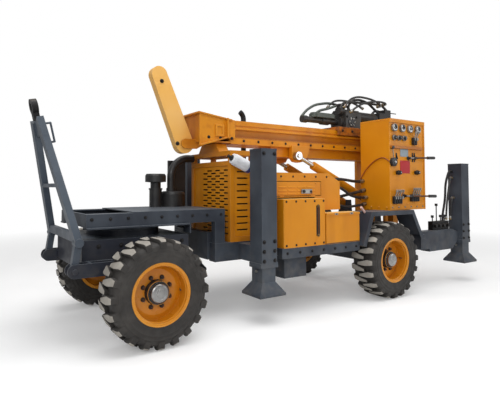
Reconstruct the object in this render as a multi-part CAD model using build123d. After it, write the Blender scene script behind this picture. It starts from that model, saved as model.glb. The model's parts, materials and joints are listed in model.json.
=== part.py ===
from build123d import *
import math
import os
from collections import namedtuple

# Water well drilling rig on a four-wheel trailer, parked with its mast down.
# Millimetres. Stations run rearwards (+X) from the front axle, the left side is -Y, the ground is Z = 0.
# The last step moves the origin to the middle of the length.

os.makedirs("parts", exist_ok=True)

Slab = namedtuple("Slab", "x0 x1 y0 y1 z0 z1")
Spot = namedtuple("Spot", "x y z")

# Fits and common sheet sizes
SEAT_GAP = 0.3
PIN_FIT = 0.05
MOVE_GAP = 6.0
SHEET = 4.0
PLATE = 12.0
PIN_HEAD = 8.0
CUT_OVER = 1.0

# Tyres: many-sided crown, two rows of bars, dished walls
WHEELBASE = 2579.0
HALF_TRACK = 687.5
TYRE_R = 387.5
TYRE_HALF_W = 132.0
TREAD_R = TYRE_R - 25.5
TREAD_HALF_W = 100.0
WALL_Y = 131.0
WALL_TOP_R = TYRE_R - 49.5
WALL_LOW_R = TYRE_R - 87.5
BEAD_CLEAR = 6.0
LUGS_PER_ROW = 16
LUG_W = 42.0
LUG_LEAN = 36.0
LUG_START_Y = 12.0
LUG_ROOT_R = TREAD_R - 17.0
SHOULDER_Y = 104.0
SHOULDER_DROP = 16.0

# Rims, hubs and axles
RIM_BARREL_R = 212.0
RIM_FLANGE_R = 227.5
RIM_HALF_W = 118.0
RIM_WALL = 12.0
DISC_Y = 15.0
DISC_DISH = 10.0
DISC_FLAT = 36.0
HUB_R = 85.0
HUB_REACH = 62.0
HUB_CAP_R = 62.0
HUB_CAP_REACH = 92.0
HUB_CAP_CHAMFER = 6.0
HUB_BACK = -60.0
SPINDLE_R = 30.0
AXLE_SQUARE = 100.0
AXLE_HALF = 600.0

# Main frame, with the rear stations measured from the rear axle
RAIL = Slab(x0=680, x1=WHEELBASE + 841, y0=300, y1=400, z0=490, z1=650)
FRONT_CROSS = Slab(x0=662, x1=722, y0=-RAIL.y0, y1=RAIL.y0, z0=500, z1=740)
JACK_ARM_Z0 = 500.0
JACK_ARM_Z1 = 640.0
MID_CROSS_X = (1290, 1800, WHEELBASE - 479)
MID_CROSS_W = 80.0
PIVOT_CROSS = Slab(x0=WHEELBASE + 321, x1=WHEELBASE + 481, y0=-RAIL.y0, y1=RAIL.y0, z0=560, z1=RAIL.z1)
REAR_CROSS = Slab(x0=WHEELBASE + 601, x1=WHEELBASE + 761, y0=-700, y1=700, z0=430, z1=630)
OUTRIGGER_Y0 = 590.0
OUTRIGGER_Z0 = 400.0
OUTRIGGER_HEEL = 460.0
OUTRIGGER_DROP = 40.0
SILL = Slab(x0=1180, x1=WHEELBASE - 409, y0=640, y1=700, z0=510, z1=600)
SILL_ARM_X = (1250, 1700, WHEELBASE - 469)
SILL_ARM_W = 60.0
SILL_ARM_INSET = 10.0
BELLY_BOX = Slab(x0=1270, x1=1530, y0=-620, y1=-RAIL.y1, z0=320, z1=509)

# Gooseneck and turntable
NECK_RAIL = Slab(x0=-420, x1=780, y0=340, y1=400, z0=840, z1=940)
NECK_LIP_Y = 310.0
NECK_LIP_T = 12.0
NECK_SOLE = Slab(x0=-420, x1=430, y0=NECK_LIP_Y, y1=430, z0=828, z1=NECK_RAIL.z0)
NECK_TAIL_Z0 = 760.0
NECK_LEG_W = 100.0
NECK_NOSE_T = 20.0
NECK_END_T = 60.0
DECK_X0 = -60.0
DECK_T = 8.0
RING_PLATE_HALF_X = 310.0
RING_R = 300.0
RING_BORE_R = 230.0
RING_MID_Z = 797.0
AXLE_SEAT_HALF_X = 90.0

# Steering carriage and drawbar
CARRIAGE = Slab(x0=-450, x1=420, y0=-400, y1=400, z0=530, z1=750)
HANGER_HALF_X = 110.0
HANGER_W = 100.0
EAR = Slab(x0=-580, x1=-150, y0=402, y1=498, z0=500, z1=600)
EAR_T = 14.0
EAR_R = 50.0
EAR_BLOCK_X = -400.0
EAR_WEB_T = 20.0
DRAW_PIVOT = Spot(x=-520, y=450, z=550)
DRAW_PIN_R = 18.0
DRAW_HEEL_R = 34.0
DRAW_KNEE = Spot(x=-490, y=450, z=745)
DRAW_KNEE_R = 32.0
DRAW_HEAD = Spot(x=-698, y=105, z=1660)
DRAW_LEG_W = 90.0
DRAW_LEG_D = 50.0
DRAW_FORK_W = 56.0
DRAW_TIE_RUN = 38.0
DRAW_TIE_D = 46.0
DRAW_TIE_H = 60.0
DRAW_RUNG_RUN = 420.0
DRAW_RUNG_D = 40.0
DRAW_RUNG_H = 30.0
HEAD_PLATE_RUN = 123.0
HEAD_PLATE_T = 16.0
GRIP_Y = -150.0
GRIP_R = 8.0
GRIP_REACH = 62.0
GRIP_TOP_BACK = 45.0
GRIP_LOW_BACK = 190.0
EYE_LIFT = 107.7
EYE_R = 62.0
EYE_BORE_R = 30.0
EYE_T = 46.0
EYE_SHANK_HALF = 35.0

# Jacks: name, x, side, top of the tube
Jack = namedtuple("Jack", "name x side top")
FRONT_JACK_X = 1001.0
FRONT_JACK_TOP = 1450.0
REAR_JACK_X = WHEELBASE + 1431
REAR_JACK_TOP = 1400.0
JACKS = (
    Jack(name="front_left", x=FRONT_JACK_X, side=-1, top=FRONT_JACK_TOP),
    Jack(name="front_right", x=FRONT_JACK_X, side=1, top=FRONT_JACK_TOP),
    Jack(name="rear_left", x=REAR_JACK_X, side=-1, top=REAR_JACK_TOP),
    Jack(name="rear_right", x=REAR_JACK_X, side=1, top=REAR_JACK_TOP),
)
JACK_Y = 666.0
TUBE_X = 160.0
TUBE_Y = 168.0
TUBE_WALL = 10.0
TUBE_Z0 = 460.0
COLLAR_GROW = 20.0
COLLAR_H = 40.0
CAP_T = 14.0
CAP_GROW = 8.0
LEG_HEAD_DROP = 150.0
FOOT_Z0 = 230.0
FOOT_Z1 = 340.0
FOOT_W = 270.0
FOOT_TRIM = 6.0
FOOT_RIM = 20.0

# Engine, radiator frame and hood
ENGINE = Slab(x0=1220, x1=1950, y0=-290, y1=290, z0=RAIL.z1 + SEAT_GAP, z1=1130)
CORE = Slab(x0=900, x1=1040, y0=-340, y1=270, z0=700, z1=1320)
SHROUD = Slab(x0=CORE.x1, x1=ENGINE.x0, y0=-200, y1=200, z0=740, z1=1100)
RADIATOR = Slab(x0=840, x1=1110, y0=-400, y1=330, z0=RAIL.z1, z1=1467)
POST_W = 44.0
TOP_BAR_Z = 1330.0
GRILLE_INSET = 10.0
GRILLE_T = 6.0
SLOT_L = 90.0
SLOT_H = 13.0
SLOT_PITCH_Y = 150.0
SLOT_PITCH_Z = 26.0
SLOT_ROWS = 24
SLOT_COLUMNS = 4
SIDE_SLOT_L = 120.0
SIDE_SLOT_PITCH_Z = 58.0
SIDE_SLOT_ROWS = 10
SIDE_SLOT_START = 60.0
REST_HALF_LOW = 230.0
REST_HALF_HIGH = 130.0
REST_T = 112.0
REST_INSET = 8.0
HOOD = Slab(x0=RADIATOR.x1 + SEAT_GAP, x1=2060, y0=-550, y1=550, z0=1040, z1=1270)
HOOD_CHAMFER_X = 1900.0
HOOD_CHAMFER_Z = 1186.0
HOOD_SKIRT_X = 1716.0
HOOD_SKIRT_Z = 910.0
PANEL_X0 = 1200.0
PANEL_X1 = 1800.0
PANEL_Z0 = 1050.0
PANEL_Z1 = 1192.0
HINGE_INSET = 80.0
HINGE_W = 50.0
LOUVRE_COLUMNS = 4
LOUVRE_ROWS = 3
LOUVRE_START_X = 60.0
LOUVRE_START_Z = 18.0
LOUVRE_PITCH_X = 118.0
LOUVRE_PITCH_Z = 32.0
LOUVRE_L = 98.0
LOUVRE_H = 14.0
LOUVRE_OUT = 5.0
LATCH_X = 531.0
LATCH_Z = 125.0
LATCH_R = 9.0
STACK_X = 1470.0
STACK_Y = 300.0
STACK_R = 28.0
STACK_ROOT_DROP = 60.0
STACK_BEND_Z = 1880.0
STACK_BEND_R = 90.0
STACK_TURN = 60.0

# Side boxes
TANK = Slab(x0=1200, x1=1706, y0=565, y1=700, z0=SILL.z1 + SEAT_GAP, z1=1030)
TANK_FILLET = 12.0
TOOL_BOX = Slab(x0=1716, x1=SILL.x1, y0=TANK.y0, y1=TANK.y1, z0=SILL.z1 + SEAT_GAP, z1=870)
LID_T = 20.0
LID_LIP = 8.0

# Rear wheel arch frames: steps from the rear axle, and heights
ARCH_FRONT = SILL.x1 + SEAT_GAP - WHEELBASE
ARCH_BACK = REAR_CROSS.x0 - SEAT_GAP - WHEELBASE
ARCH_STEPS = ((ARCH_FRONT, 560), (-279, 885), (406, 885), (561, 610), (ARCH_BACK, 610))
ARCH_DEPTH = 45.0
ARCH_SHEET = 6.0
ARCH_Y0 = 500.0
ARCH_Y1 = 750.0

# Control cabinet and what its panel carries, measured from the cabinet's front lower corner
CABINET = Slab(x0=WHEELBASE + 71, x1=WHEELBASE + 681, y0=-700, y1=-320, z0=885.3, z1=1850)
CABINET_LEG = Slab(x0=WHEELBASE + 141, x1=WHEELBASE + 581, y0=-RAIL.y1, y1=-330, z0=RAIL.z1, z1=CABINET.z0)
CABINET_LEG_W = 60.0
HEADER_T = 14.0
HEADER_OUT = 12.0
HEADER_DROP = 26.0
EDGE_W = 14.0
EDGE_OUT = 10.0
Dial = namedtuple("Dial", "x z r")
DIALS = (
    Dial(x=73, z=882, r=40),
    Dial(x=208, z=882, r=40),
    Dial(x=343, z=882, r=40),
    Dial(x=481, z=882, r=40),
    Dial(x=70, z=775, r=25),
    Dial(x=153, z=775, r=25),
    Dial(x=238, z=775, r=25),
    Dial(x=45, z=513, r=45),
    Dial(x=122, z=401, r=22),
    Dial(x=444, z=406, r=22),
)
DIAL_T = 22.0
BAR = Slab(x0=10, x1=557, y0=-24, y1=0, z0=660, z1=686)
Levers = namedtuple("Levers", "x z count")
LEVER_ROWS = (Levers(x=44, z=120, count=4), Levers(x=345, z=138, count=4), Levers(x=392, z=760, count=2))
LEVER_PITCH = 36.0
LEVER_BLOCK_H = 28.0
LEVER_BLOCK_OUT = 34.0
LEVER_RISE = 84.0
LEVER_LEAN = 30.0
LEVER_R = 5.0
LEVER_KNOB_R = 11.0
LEVER_KNOB_L = 24.0
Handle = namedtuple("Handle", "x z tip_x tip_z")
HANDLES = (Handle(x=317, z=561, tip_x=700, tip_z=574), Handle(x=236, z=151, tip_x=718, tip_z=143))
HANDLE_OUT = 66.0
HANDLE_R = 9.0
HANDLE_GRIP_R = 15.0
HANDLE_GRIP_L = 120.0

# Rear valve bank
VALVES = Slab(x0=REAR_CROSS.x1 + 130, x1=REAR_CROSS.x1 + 455, y0=-660, y1=-600, z0=630.3, z1=730)
SPOOL_COUNT = 4
SPOOL_R = 20.0
SPOOL_OUT = 28.0
SHORT_STEM_H = 70.0
TALL_STEM_H = 205.0
STEM_R = 6.0
STEM_KNOB_R = 16.0
STEM_KNOB_L = 28.0

# Air cleaners and cooler panel on the deck
CAN_ONE = Spot(x=425, y=290, z=NECK_RAIL.z1 + DECK_T)
CAN_ONE_PROFILE = (
    (0, 0),
    (60, 0),
    (60, 165),
    (66, 165),
    (66, 180),
    (50, 180),
    (50, 234),
    (100, 240),
    (100, 300),
    (88, 318),
    (0, 318),
)
CAN_TWO = Spot(x=611, y=300, z=NECK_RAIL.z1 + DECK_T)
CAN_TWO_R = 120.0
CAN_TWO_H = 150.0
CAN_TWO_FILLET = 34.0
INTAKE_R = 38.0
INTAKE_X = 592.0
INTAKE_Z = 1425.0
INTAKE_BEND_R = 190.0
INTAKE_COLLAR_R = 46.0
INTAKE_COLLAR_H = 30.0
COOLER = Slab(x0=600, x1=790, y0=372, y1=398, z0=NECK_RAIL.z1 + DECK_T, z1=1405)

# Mast
MAST_PIVOT = Spot(x=WHEELBASE + 721, y=0, z=1500)
MAST_PIN_R = 35.0
MAST_BOX = Slab(x0=1000, x1=MAST_PIVOT.x + 600, y0=-135, y1=135, z0=1550, z1=1712)
MAST_FLANGE_HALF = 165.0
MAST_FLANGE_T = 20.0
MAST_BAND_H = 68.0
MAST_KEEL = Slab(x0=1530, x1=MAST_PIVOT.x + 260, y0=-110, y1=110, z0=1450, z1=MAST_BOX.z0)
MAST_RAIL_Y0 = 100.0
MAST_RAIL_Y1 = 150.0
MAST_RAIL_GROOVE_Y = 140.0
MAST_RAIL_LIP_Z = 1734.0
MAST_RAIL_Z1 = 1780.0
POST_HALF_X = 120.0
POST_Y0 = 196.0
POST_Y1 = 232.0
POST_Z0 = 630.0
POST_CROWN = 60.0
MAST_BOSS_R = 60.0
MAST_BOSS_Y = 190.0

# Crown: tapered side plates, a front plate and the arm's ears
CROWN_X0 = 650.0
CROWN_X1 = MAST_BOX.x0 - SEAT_GAP
CROWN_KINK_X = 947.0
CROWN_FACE_X = 671.0
CROWN_SHEET = 14.0
CROWN_TOP_FRONT = 1828.0
CROWN_TOP_REAR = 1788.0
CROWN_LOW_FRONT = 1513.0
CROWN_LOW_REAR = 1600.0
CROWN_BASE_Z = 1570.0
CROWN_TAIL_X = 1040.0
CROWN_LIP = 26.0
CROWN_FLANGE_OUT = 34.0
CROWN_PAD = Slab(x0=815, x1=908, y0=0, y1=14, z0=1612, z1=1722)
CROWN_PAD_WALL = 18.0
CROWN_PAD_DEPTH = 9.0
ARM_ROOT = Spot(x=571, y=0, z=1540)
ARM_TIP = Spot(x=317, y=0, z=2155)
ARM_ROOT_R = 90.0
ARM_TIP_R = 75.0
ARM_HALF_T = 40.0
ARM_PIN_R = 16.0
EAR_PLATE_Y = 48.0
EAR_PLATE_T = 14.0
EAR_PLATE_R = 45.0
EAR_PLATE_TAIL_X = 800.0

# Power head on the mast rails, with stations measured from the mast pivot
SLED_Z0 = MAST_RAIL_Z1 + SEAT_GAP
HEAD_SLED = Slab(x0=MAST_PIVOT.x - 860, x1=MAST_PIVOT.x - 320, y0=-185, y1=185, z0=SLED_Z0, z1=1820)
HEAD_CLAW_Z = 1724.0
GEAR_CASE = Slab(x0=MAST_PIVOT.x - 660, x1=MAST_PIVOT.x - 400, y0=-120, y1=120, z0=HEAD_SLED.z1, z1=2050)
GEAR_CASE_CHAMFER = 40.0
GEAR_NOSE_X = MAST_PIVOT.x - 700
GEAR_NOSE_R = 88.0
QUILL_Z = 1900.0
QUILL_R = 34.0
QUILL_X0 = MAST_PIVOT.x - 1240
QUILL_COLLAR_R = 42.0
QUILL_COLLAR_L = 60.0
QUILL_SWELL_X = MAST_PIVOT.x - 950
QUILL_SWELL_R = 46.0
QUILL_SWELL_L = 110.0
COVER = Slab(x0=MAST_PIVOT.x - 1110, x1=MAST_PIVOT.x - 740, y0=-62, y1=62, z0=1930, z1=1985)
COVER_DOME = 14.0
MOTOR_R = 56.0
MOTOR_Y = 62.0
MOTOR_Z = 1985.0
MOTOR_X1 = MAST_PIVOT.x - 120
MOTOR_END_R = 42.0
MOTOR_END_L = 50.0
FRONT_MOTOR = Spot(x=MAST_PIVOT.x - 730, y=-60, z=2030)
FRONT_MOTOR_R = 46.0
SWIVEL_R = 36.0
SWIVEL_X1 = MAST_PIVOT.x + 130
MANIFOLD = Slab(x0=MAST_PIVOT.x - 20, x1=MAST_PIVOT.x + 200, y0=-90, y1=40, z0=1880, z1=2110)
MANIFOLD_STEP_Z = 2060.0
MANIFOLD_STEP_X = MAST_PIVOT.x + 90
MAST_TAP_R = 6.0
MAST_TAP_L = 190.0
MAST_TAP_Z = 2090.0
HEAD_HOSE_R = 15.0

# Lift cylinders
LIFT_Y = 215.0
LIFT_LOW = Spot(x=MAST_PIVOT.x - 320, y=LIFT_Y, z=930)
LIFT_HIGH = Spot(x=MAST_PIVOT.x - 1500, y=LIFT_Y, z=1460)
BARREL_R = 44.0
BARREL_BORE_R = 35.0
BARREL_START = 60.0
BARREL_END_WALL = 20.0
BARREL_END = 1060.0
GLAND_T = 50.0
PISTON_START = 80.0
PISTON_T = 60.0
ROD_R = 22.0
EYE_LINK_R = 44.0
EYE_HALF_W = 25.0
LIFT_PIN_R = 20.0
LIFT_LUG_Y0 = 130.0
LIFT_LUG_Y1 = 184.0
LIFT_LUG_STEPS = ((-50, 110), (200, 110), (190, 40), (130, -50), (50, -68), (-10, -60), (-50, -20))
LOW_LUG_T = 14.0
LOW_LUG_R = 42.0
LOW_LUG_FOOT = 75.0
LOW_LUG_GAP = 3.0
LINK_GAP = 1.0

# Hoses on the power head: a distance across, then steps from the mast pivot and heights
HOSE_SHARE = 0.45
Route = namedtuple("Route", "y path")
HEAD_HOSES = (
    Route(y=35, path=((-1218, 1930), (-1140, 2010), (-1010, 2085), (-780, 2130), (-580, 2110), (-510, 2040))),
    Route(y=-20, path=((-1100, 1925), (-1000, 2010), (-850, 2045), (-640, 2120), (-520, 2100), (-470, 2040))),
    Route(y=-45, path=((-540, 2040), (-530, 2120), (-450, 2185), (-330, 2200), (-180, 2175), (30, 2050))),
    Route(y=-75, path=((-700, 2060), (-660, 2125), (-500, 2148), (-250, 2160), (40, 2165), (140, 2100))),
    Route(y=30, path=((-130, 1985), (-60, 2000), (0, 2080), (60, 2112), (130, 2105))),
)

# Hose of the left rear jack: steps from the jack, and heights
JACK_HOSE = Route(y=-635, path=((-150, 1320), (-225, 1180), (-240, 980), (-295, 810), (-305, 725)))
JACK_HOSE_Z = 1320.0
JACK_HOSE_R = 13.0


def block(s):
    """Box that fills a slab."""
    size = (s.x1 - s.x0, s.y1 - s.y0, s.z1 - s.z0)
    middle = ((s.x0 + s.x1) / 2, (s.y0 + s.y1) / 2, (s.z0 + s.z1) / 2)
    return Pos(*middle) * Box(*size)


def cut_block(x0, x1, y0, y1, z0, z1):
    """Box between two stations on each axis."""
    return block(Slab(x0, x1, y0, y1, z0, z1))


def flip(shape):
    """Mirror image across the centre line."""
    return mirror(shape, Plane.XZ)


def pair(shape):
    """A shape and its mirror image across the centre line."""
    return shape + flip(shape)


def joined(shapes):
    """One body from a list of shapes."""
    body = shapes[0]
    for shape in shapes[1:]:
        body += shape
    return body


def bar_y(x, z, y0, y1, r):
    """Round bar across the machine."""
    return Pos(x, (y0 + y1) / 2, z) * Rot(90, 0, 0) * Cylinder(r, y1 - y0)


def bar_x(y, z, x0, x1, r):
    """Round bar along the machine."""
    return Pos((x0 + x1) / 2, y, z) * Rot(0, 90, 0) * Cylinder(r, x1 - x0)


def bar_z(x, y, z0, z1, r):
    """Upright round bar."""
    return Pos(x, y, (z0 + z1) / 2) * Cylinder(r, z1 - z0)


def plate_xz(points, y0, y1):
    """Flat plate cut to an outline of x, z points."""
    outline = Polyline(*[(x, y0, z) for x, z in points], close=True)
    return extrude(make_face(outline), amount=y1 - y0, dir=(0, 1, 0))


def plate_yz(points, x0, x1):
    """Flat plate cut to an outline of y, z points."""
    outline = Polyline(*[(x0, y, z) for y, z in points], close=True)
    return extrude(make_face(outline), amount=x1 - x0, dir=(1, 0, 0))


def beam(start, end, width, depth):
    """Square beam from one point to another, its width lying closest to Y."""
    a = Vector(*start)
    b = Vector(*end)
    run = (b - a).normalized()
    side = (Vector(0, 1, 0) - run * run.Y).normalized()
    face = Plane(origin=a, x_dir=side, z_dir=run) * Rectangle(width, depth)
    return extrude(face, amount=(b - a).length)


def along(start, end, s):
    """Point at the distance s on the way from start to end."""
    a = Vector(*start)
    run = (Vector(*end) - a).normalized()
    return a + run * s


def rod(start, end, s0, s1, r):
    """Round bar on the line from start to end, between two distances."""
    a = along(start, end, s0)
    run = (Vector(*end) - Vector(*start)).normalized()
    face = Plane(origin=a, z_dir=run) * Circle(r)
    return extrude(face, amount=s1 - s0)


def stick(points, r):
    """Bent round bar through its points, with a ball at each bend."""
    parts = []
    for start, end in zip(points, points[1:]):
        parts.append(rod(start, end, 0, (Vector(*end) - Vector(*start)).length, r))
    parts += [Pos(*bend) * Sphere(r) for bend in points[1:-1]]
    return joined(parts)


def hose(points, r):
    """Hose through its points, each bend as wide as the runs beside it allow."""
    spots = [Vector(*p) for p in points]
    radii = []
    for before, spot, after in zip(spots, spots[1:], spots[2:]):
        turn = math.radians((spot - before).get_angle(after - spot))
        reach = HOSE_SHARE * min((spot - before).length, (after - spot).length)
        radii.append(reach / math.tan(turn / 2))
    path = FilletPolyline(*spots, radius=radii)
    start = Plane(origin=spots[0], z_dir=spots[1] - spots[0])
    return sweep(start * Circle(r), path=path)


def wheel_turn(points, side):
    """Turned part from radius and outward distance, on the side's own hub."""
    profile = make_face(Polyline(*[(r, side * y, 0) for r, y in points], close=True))
    return revolve(profile, Axis.Y)


# Wheels
def many_sided(y, apothem):
    """Regular outline across the axle, with one flat at the bottom."""
    sides = 2 * LUGS_PER_ROW
    plane = Plane(origin=(0, y, 0), x_dir=(1, 0, 0), z_dir=(0, 1, 0))
    return (plane * RegularPolygon(apothem, sides, major_radius=False, rotation=180 / sides)).face()


def drum(y0, r0, y1, r1):
    """Many-sided body between two distances along the axle."""
    return loft([many_sided(y0, r0), many_sided(y1, r1)], ruled=True)


def tread_bars(side):
    """Two rows of leaning bars, trimmed to the crown and its shoulders."""
    cheek = drum(SHOULDER_Y, TYRE_R, TYRE_HALF_W, TYRE_R - SHOULDER_DROP)
    crown = drum(-SHOULDER_Y, TYRE_R, SHOULDER_Y, TYRE_R) + cheek + flip(cheek)
    reach = (TYRE_HALF_W - LUG_START_Y) / math.cos(math.radians(LUG_LEAN)) + LUG_W
    bars = []
    for row in (-1, 1):
        middle = row * (TYRE_HALF_W + LUG_START_Y) / 2
        lift = (TYRE_R + LUG_ROOT_R) / 2 + SHOULDER_DROP / 2
        rough = Pos(0, middle, -lift) * Rot(0, 0, row * side * LUG_LEAN)
        bar = (rough * Box(LUG_W, reach, TYRE_R - LUG_ROOT_R + SHOULDER_DROP)) & crown
        start = (1 + row) / 4
        bars += [Rot(0, 360 / LUGS_PER_ROW * (step + start), 0) * bar for step in range(LUGS_PER_ROW)]
    return bars


def tyre(side):
    bore = RIM_BARREL_R + SEAT_GAP
    bead_y = RIM_HALF_W - RIM_WALL - SEAT_GAP
    bead_r = RIM_FLANGE_R + BEAD_CLEAR
    shoulder = drum(TREAD_HALF_W, TREAD_R, WALL_Y, WALL_TOP_R)
    carcass = drum(-TREAD_HALF_W, TREAD_R, TREAD_HALF_W, TREAD_R) + shoulder + flip(shoulder)
    dish = drum(bead_y, bead_r, WALL_Y, WALL_LOW_R)
    carcass = carcass - dish - flip(dish) - drum(-WALL_Y, bore, WALL_Y, bore)
    return carcass.fuse(*tread_bars(side))


def rim(side):
    inner = RIM_BARREL_R - RIM_WALL
    lip = RIM_HALF_W - RIM_WALL
    bore = SPINDLE_R + PIN_FIT
    weld = inner + CUT_OVER
    barrel = wheel_turn(
        (
            (inner, -RIM_HALF_W),
            (RIM_FLANGE_R, -RIM_HALF_W),
            (RIM_FLANGE_R, -lip),
            (RIM_BARREL_R, -lip),
            (RIM_BARREL_R, lip),
            (RIM_FLANGE_R, lip),
            (RIM_FLANGE_R, RIM_HALF_W),
            (inner, RIM_HALF_W),
        ),
        side,
    )
    disc = wheel_turn(
        (
            (bore, HUB_BACK),
            (HUB_R, HUB_BACK),
            (HUB_R, DISC_Y - RIM_WALL),
            (inner - DISC_FLAT, DISC_Y - RIM_WALL),
            (weld, DISC_Y - DISC_DISH - 2 * RIM_WALL),
            (weld, DISC_Y - DISC_DISH),
            (inner - DISC_FLAT, DISC_Y),
            (HUB_R, DISC_Y),
            (HUB_R, HUB_REACH),
            (HUB_CAP_R, HUB_REACH),
            (HUB_CAP_R - HUB_CAP_CHAMFER, HUB_CAP_REACH),
            (0, HUB_CAP_REACH),
            (0, HUB_REACH - RIM_WALL),
            (bore, HUB_REACH - RIM_WALL),
        ),
        side,
    )
    return barrel + disc


def axle(x):
    square = Pos(x, 0, TYRE_R) * Box(AXLE_SQUARE, 2 * AXLE_HALF, AXLE_SQUARE)
    spindle_end = HALF_TRACK + HUB_REACH - RIM_WALL - MOVE_GAP
    return square + bar_y(x, TYRE_R, -spindle_end, spindle_end, SPINDLE_R)


# Frame
def outrigger():
    """Beam from the rear cross-member to the rear jack, cut away under its end."""
    x1 = REAR_JACK_X - TUBE_X / 2 - SEAT_GAP
    heel = REAR_CROSS.x1 + OUTRIGGER_HEEL
    over_collar = TUBE_Z0 + COLLAR_H + SEAT_GAP
    outline = (
        (REAR_CROSS.x1, OUTRIGGER_Z0),
        (heel, OUTRIGGER_Z0),
        (x1 - COLLAR_GROW / 2, over_collar),
        (x1, over_collar),
        (x1, REAR_CROSS.z1 - OUTRIGGER_DROP),
        (heel, REAR_CROSS.z1),
        (REAR_CROSS.x1, REAR_CROSS.z1),
    )
    return plate_xz(outline, OUTRIGGER_Y0, REAR_CROSS.y1)


def lift_foot():
    """Two lugs and the pin that carry a lift cylinder's lower eye."""
    foot = LIFT_LOW.x
    top = LIFT_LOW.z + LOW_LUG_R
    outline = (
        (foot - LOW_LUG_FOOT, PIVOT_CROSS.z1),
        (foot + LOW_LUG_FOOT, PIVOT_CROSS.z1),
        (foot + LOW_LUG_R, top),
        (foot - LOW_LUG_R, top),
    )
    reach = BARREL_R + LOW_LUG_GAP
    inner = LIFT_Y - reach - LOW_LUG_T
    outer = LIFT_Y + reach
    lugs = plate_xz(outline, inner, inner + LOW_LUG_T) + plate_xz(outline, outer, outer + LOW_LUG_T)
    return lugs + bar_y(foot, LIFT_LOW.z, inner, outer + LOW_LUG_T + PIN_HEAD, LIFT_PIN_R)


def main_frame():
    body = pair(block(RAIL)) + block(FRONT_CROSS) + block(PIVOT_CROSS) + block(REAR_CROSS)
    for x in MID_CROSS_X:
        body += cut_block(x, x + MID_CROSS_W, -RAIL.y0, RAIL.y0, RAIL.z0, RAIL.z1)
    tube_y = JACK_Y - TUBE_Y / 2 - SEAT_GAP
    arm_x0 = FRONT_JACK_X - TUBE_X / 2
    body += pair(cut_block(arm_x0, arm_x0 + TUBE_X, RAIL.y1, tube_y, JACK_ARM_Z0, JACK_ARM_Z1))
    body += pair(outrigger()) + pair(lift_foot())
    seat_x0 = WHEELBASE - AXLE_SEAT_HALF_X
    seat_x1 = WHEELBASE + AXLE_SEAT_HALF_X
    seat_z0 = TYRE_R + AXLE_SQUARE / 2 + SEAT_GAP
    body += pair(cut_block(seat_x0, seat_x1, RAIL.y0, RAIL.y1, seat_z0, RAIL.z0))
    return body + block(BELLY_BOX)


def platform_sills():
    body = pair(block(SILL))
    z0 = SILL.z0 + SILL_ARM_INSET
    z1 = SILL.z1 - SILL_ARM_INSET
    for x in SILL_ARM_X:
        body += pair(cut_block(x, x + SILL_ARM_W, RAIL.y1, SILL.y0, z0, z1))
    return body


def gooseneck():
    n = NECK_RAIL
    sole = NECK_SOLE
    lip_z0 = n.z0 + NECK_LIP_T
    body = pair(block(n) + block(sole))
    body += pair(cut_block(n.x0, n.x1, NECK_LIP_Y, n.y0, n.z0, lip_z0))
    body += pair(cut_block(n.x0, n.x1, NECK_LIP_Y, n.y0, n.z1 - NECK_LIP_T, n.z1))
    body += pair(cut_block(sole.x1 - PLATE, sole.x1, sole.y0, sole.y1, NECK_TAIL_Z0, sole.z0))
    body += pair(cut_block(n.x1 - NECK_LEG_W, n.x1, n.y0, n.y1, RAIL.z1, n.z0))
    body += cut_block(n.x0, n.x0 + NECK_NOSE_T, -n.y0, n.y0, n.z0, n.z1)
    body += cut_block(n.x1 - NECK_END_T, n.x1, -n.y0, n.y0, n.z0, n.z1)
    body += cut_block(DECK_X0, n.x1, -n.y1, n.y1, n.z1, n.z1 + DECK_T)
    body += cut_block(-RING_PLATE_HALF_X, RING_PLATE_HALF_X, -NECK_LIP_Y, NECK_LIP_Y, n.z0, lip_z0)
    body += bar_z(0, 0, RING_MID_Z, lip_z0, RING_R)
    return body - bar_z(0, 0, RING_MID_Z - CUT_OVER, lip_z0 + CUT_OVER, RING_BORE_R)


def drawbar_ear():
    """Forked ear on the carriage's side, with the drawbar's pin."""
    z0 = DRAW_PIVOT.z - EAR_R
    z1 = DRAW_PIVOT.z + EAR_R
    web = EAR_BLOCK_X - EAR_WEB_T
    body = cut_block(EAR_BLOCK_X, EAR.x1, CARRIAGE.y1, EAR.y0, z0, z1)
    for y in (EAR.y0, EAR.y1 - EAR_T):
        body += cut_block(DRAW_PIVOT.x, EAR.x1, y, y + EAR_T, z0, z1)
        body += bar_y(DRAW_PIVOT.x, DRAW_PIVOT.z, y, y + EAR_T, EAR_R)
    body += cut_block(web, EAR.x1, CARRIAGE.y1, EAR.y1, EAR.z0, EAR.z0 + PLATE)
    body += cut_block(web, EAR_BLOCK_X, CARRIAGE.y1, EAR.y1, EAR.z0, EAR.z1)
    return body + bar_y(DRAW_PIVOT.x, DRAW_PIVOT.z, EAR.y0, EAR.y1 + PLATE, DRAW_PIN_R)


def steer_carriage():
    c = CARRIAGE
    body = cut_block(c.x0, c.x1, c.y0, c.y1, c.z1 - PLATE, c.z1)
    body += cut_block(c.x0, c.x0 + PLATE, c.y0, c.y1, c.z0, c.z1)
    body += cut_block(c.x1 - PLATE, c.x1, c.y0, c.y1, c.z0, c.z1)
    body += pair(cut_block(c.x0, c.x1, c.y1 - PLATE, c.y1, c.z0, c.z1))
    hanger_z0 = TYRE_R + AXLE_SQUARE / 2
    body += pair(cut_block(-HANGER_HALF_X, HANGER_HALF_X, c.y1 - HANGER_W, c.y1, hanger_z0, c.z0 + PLATE))
    body += bar_z(0, 0, c.z1, RING_MID_Z - SEAT_GAP, RING_R)
    body -= bar_z(0, 0, c.z1 - PLATE - CUT_OVER, RING_MID_Z, RING_BORE_R)
    return body + pair(drawbar_ear())


# Drawbar
DRAW_LEAN = math.atan2(DRAW_KNEE.x - DRAW_HEAD.x, DRAW_HEAD.z - DRAW_KNEE.z)
DRAW_RISE = math.hypot(DRAW_KNEE.x - DRAW_HEAD.x, DRAW_HEAD.z - DRAW_KNEE.z)


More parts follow.
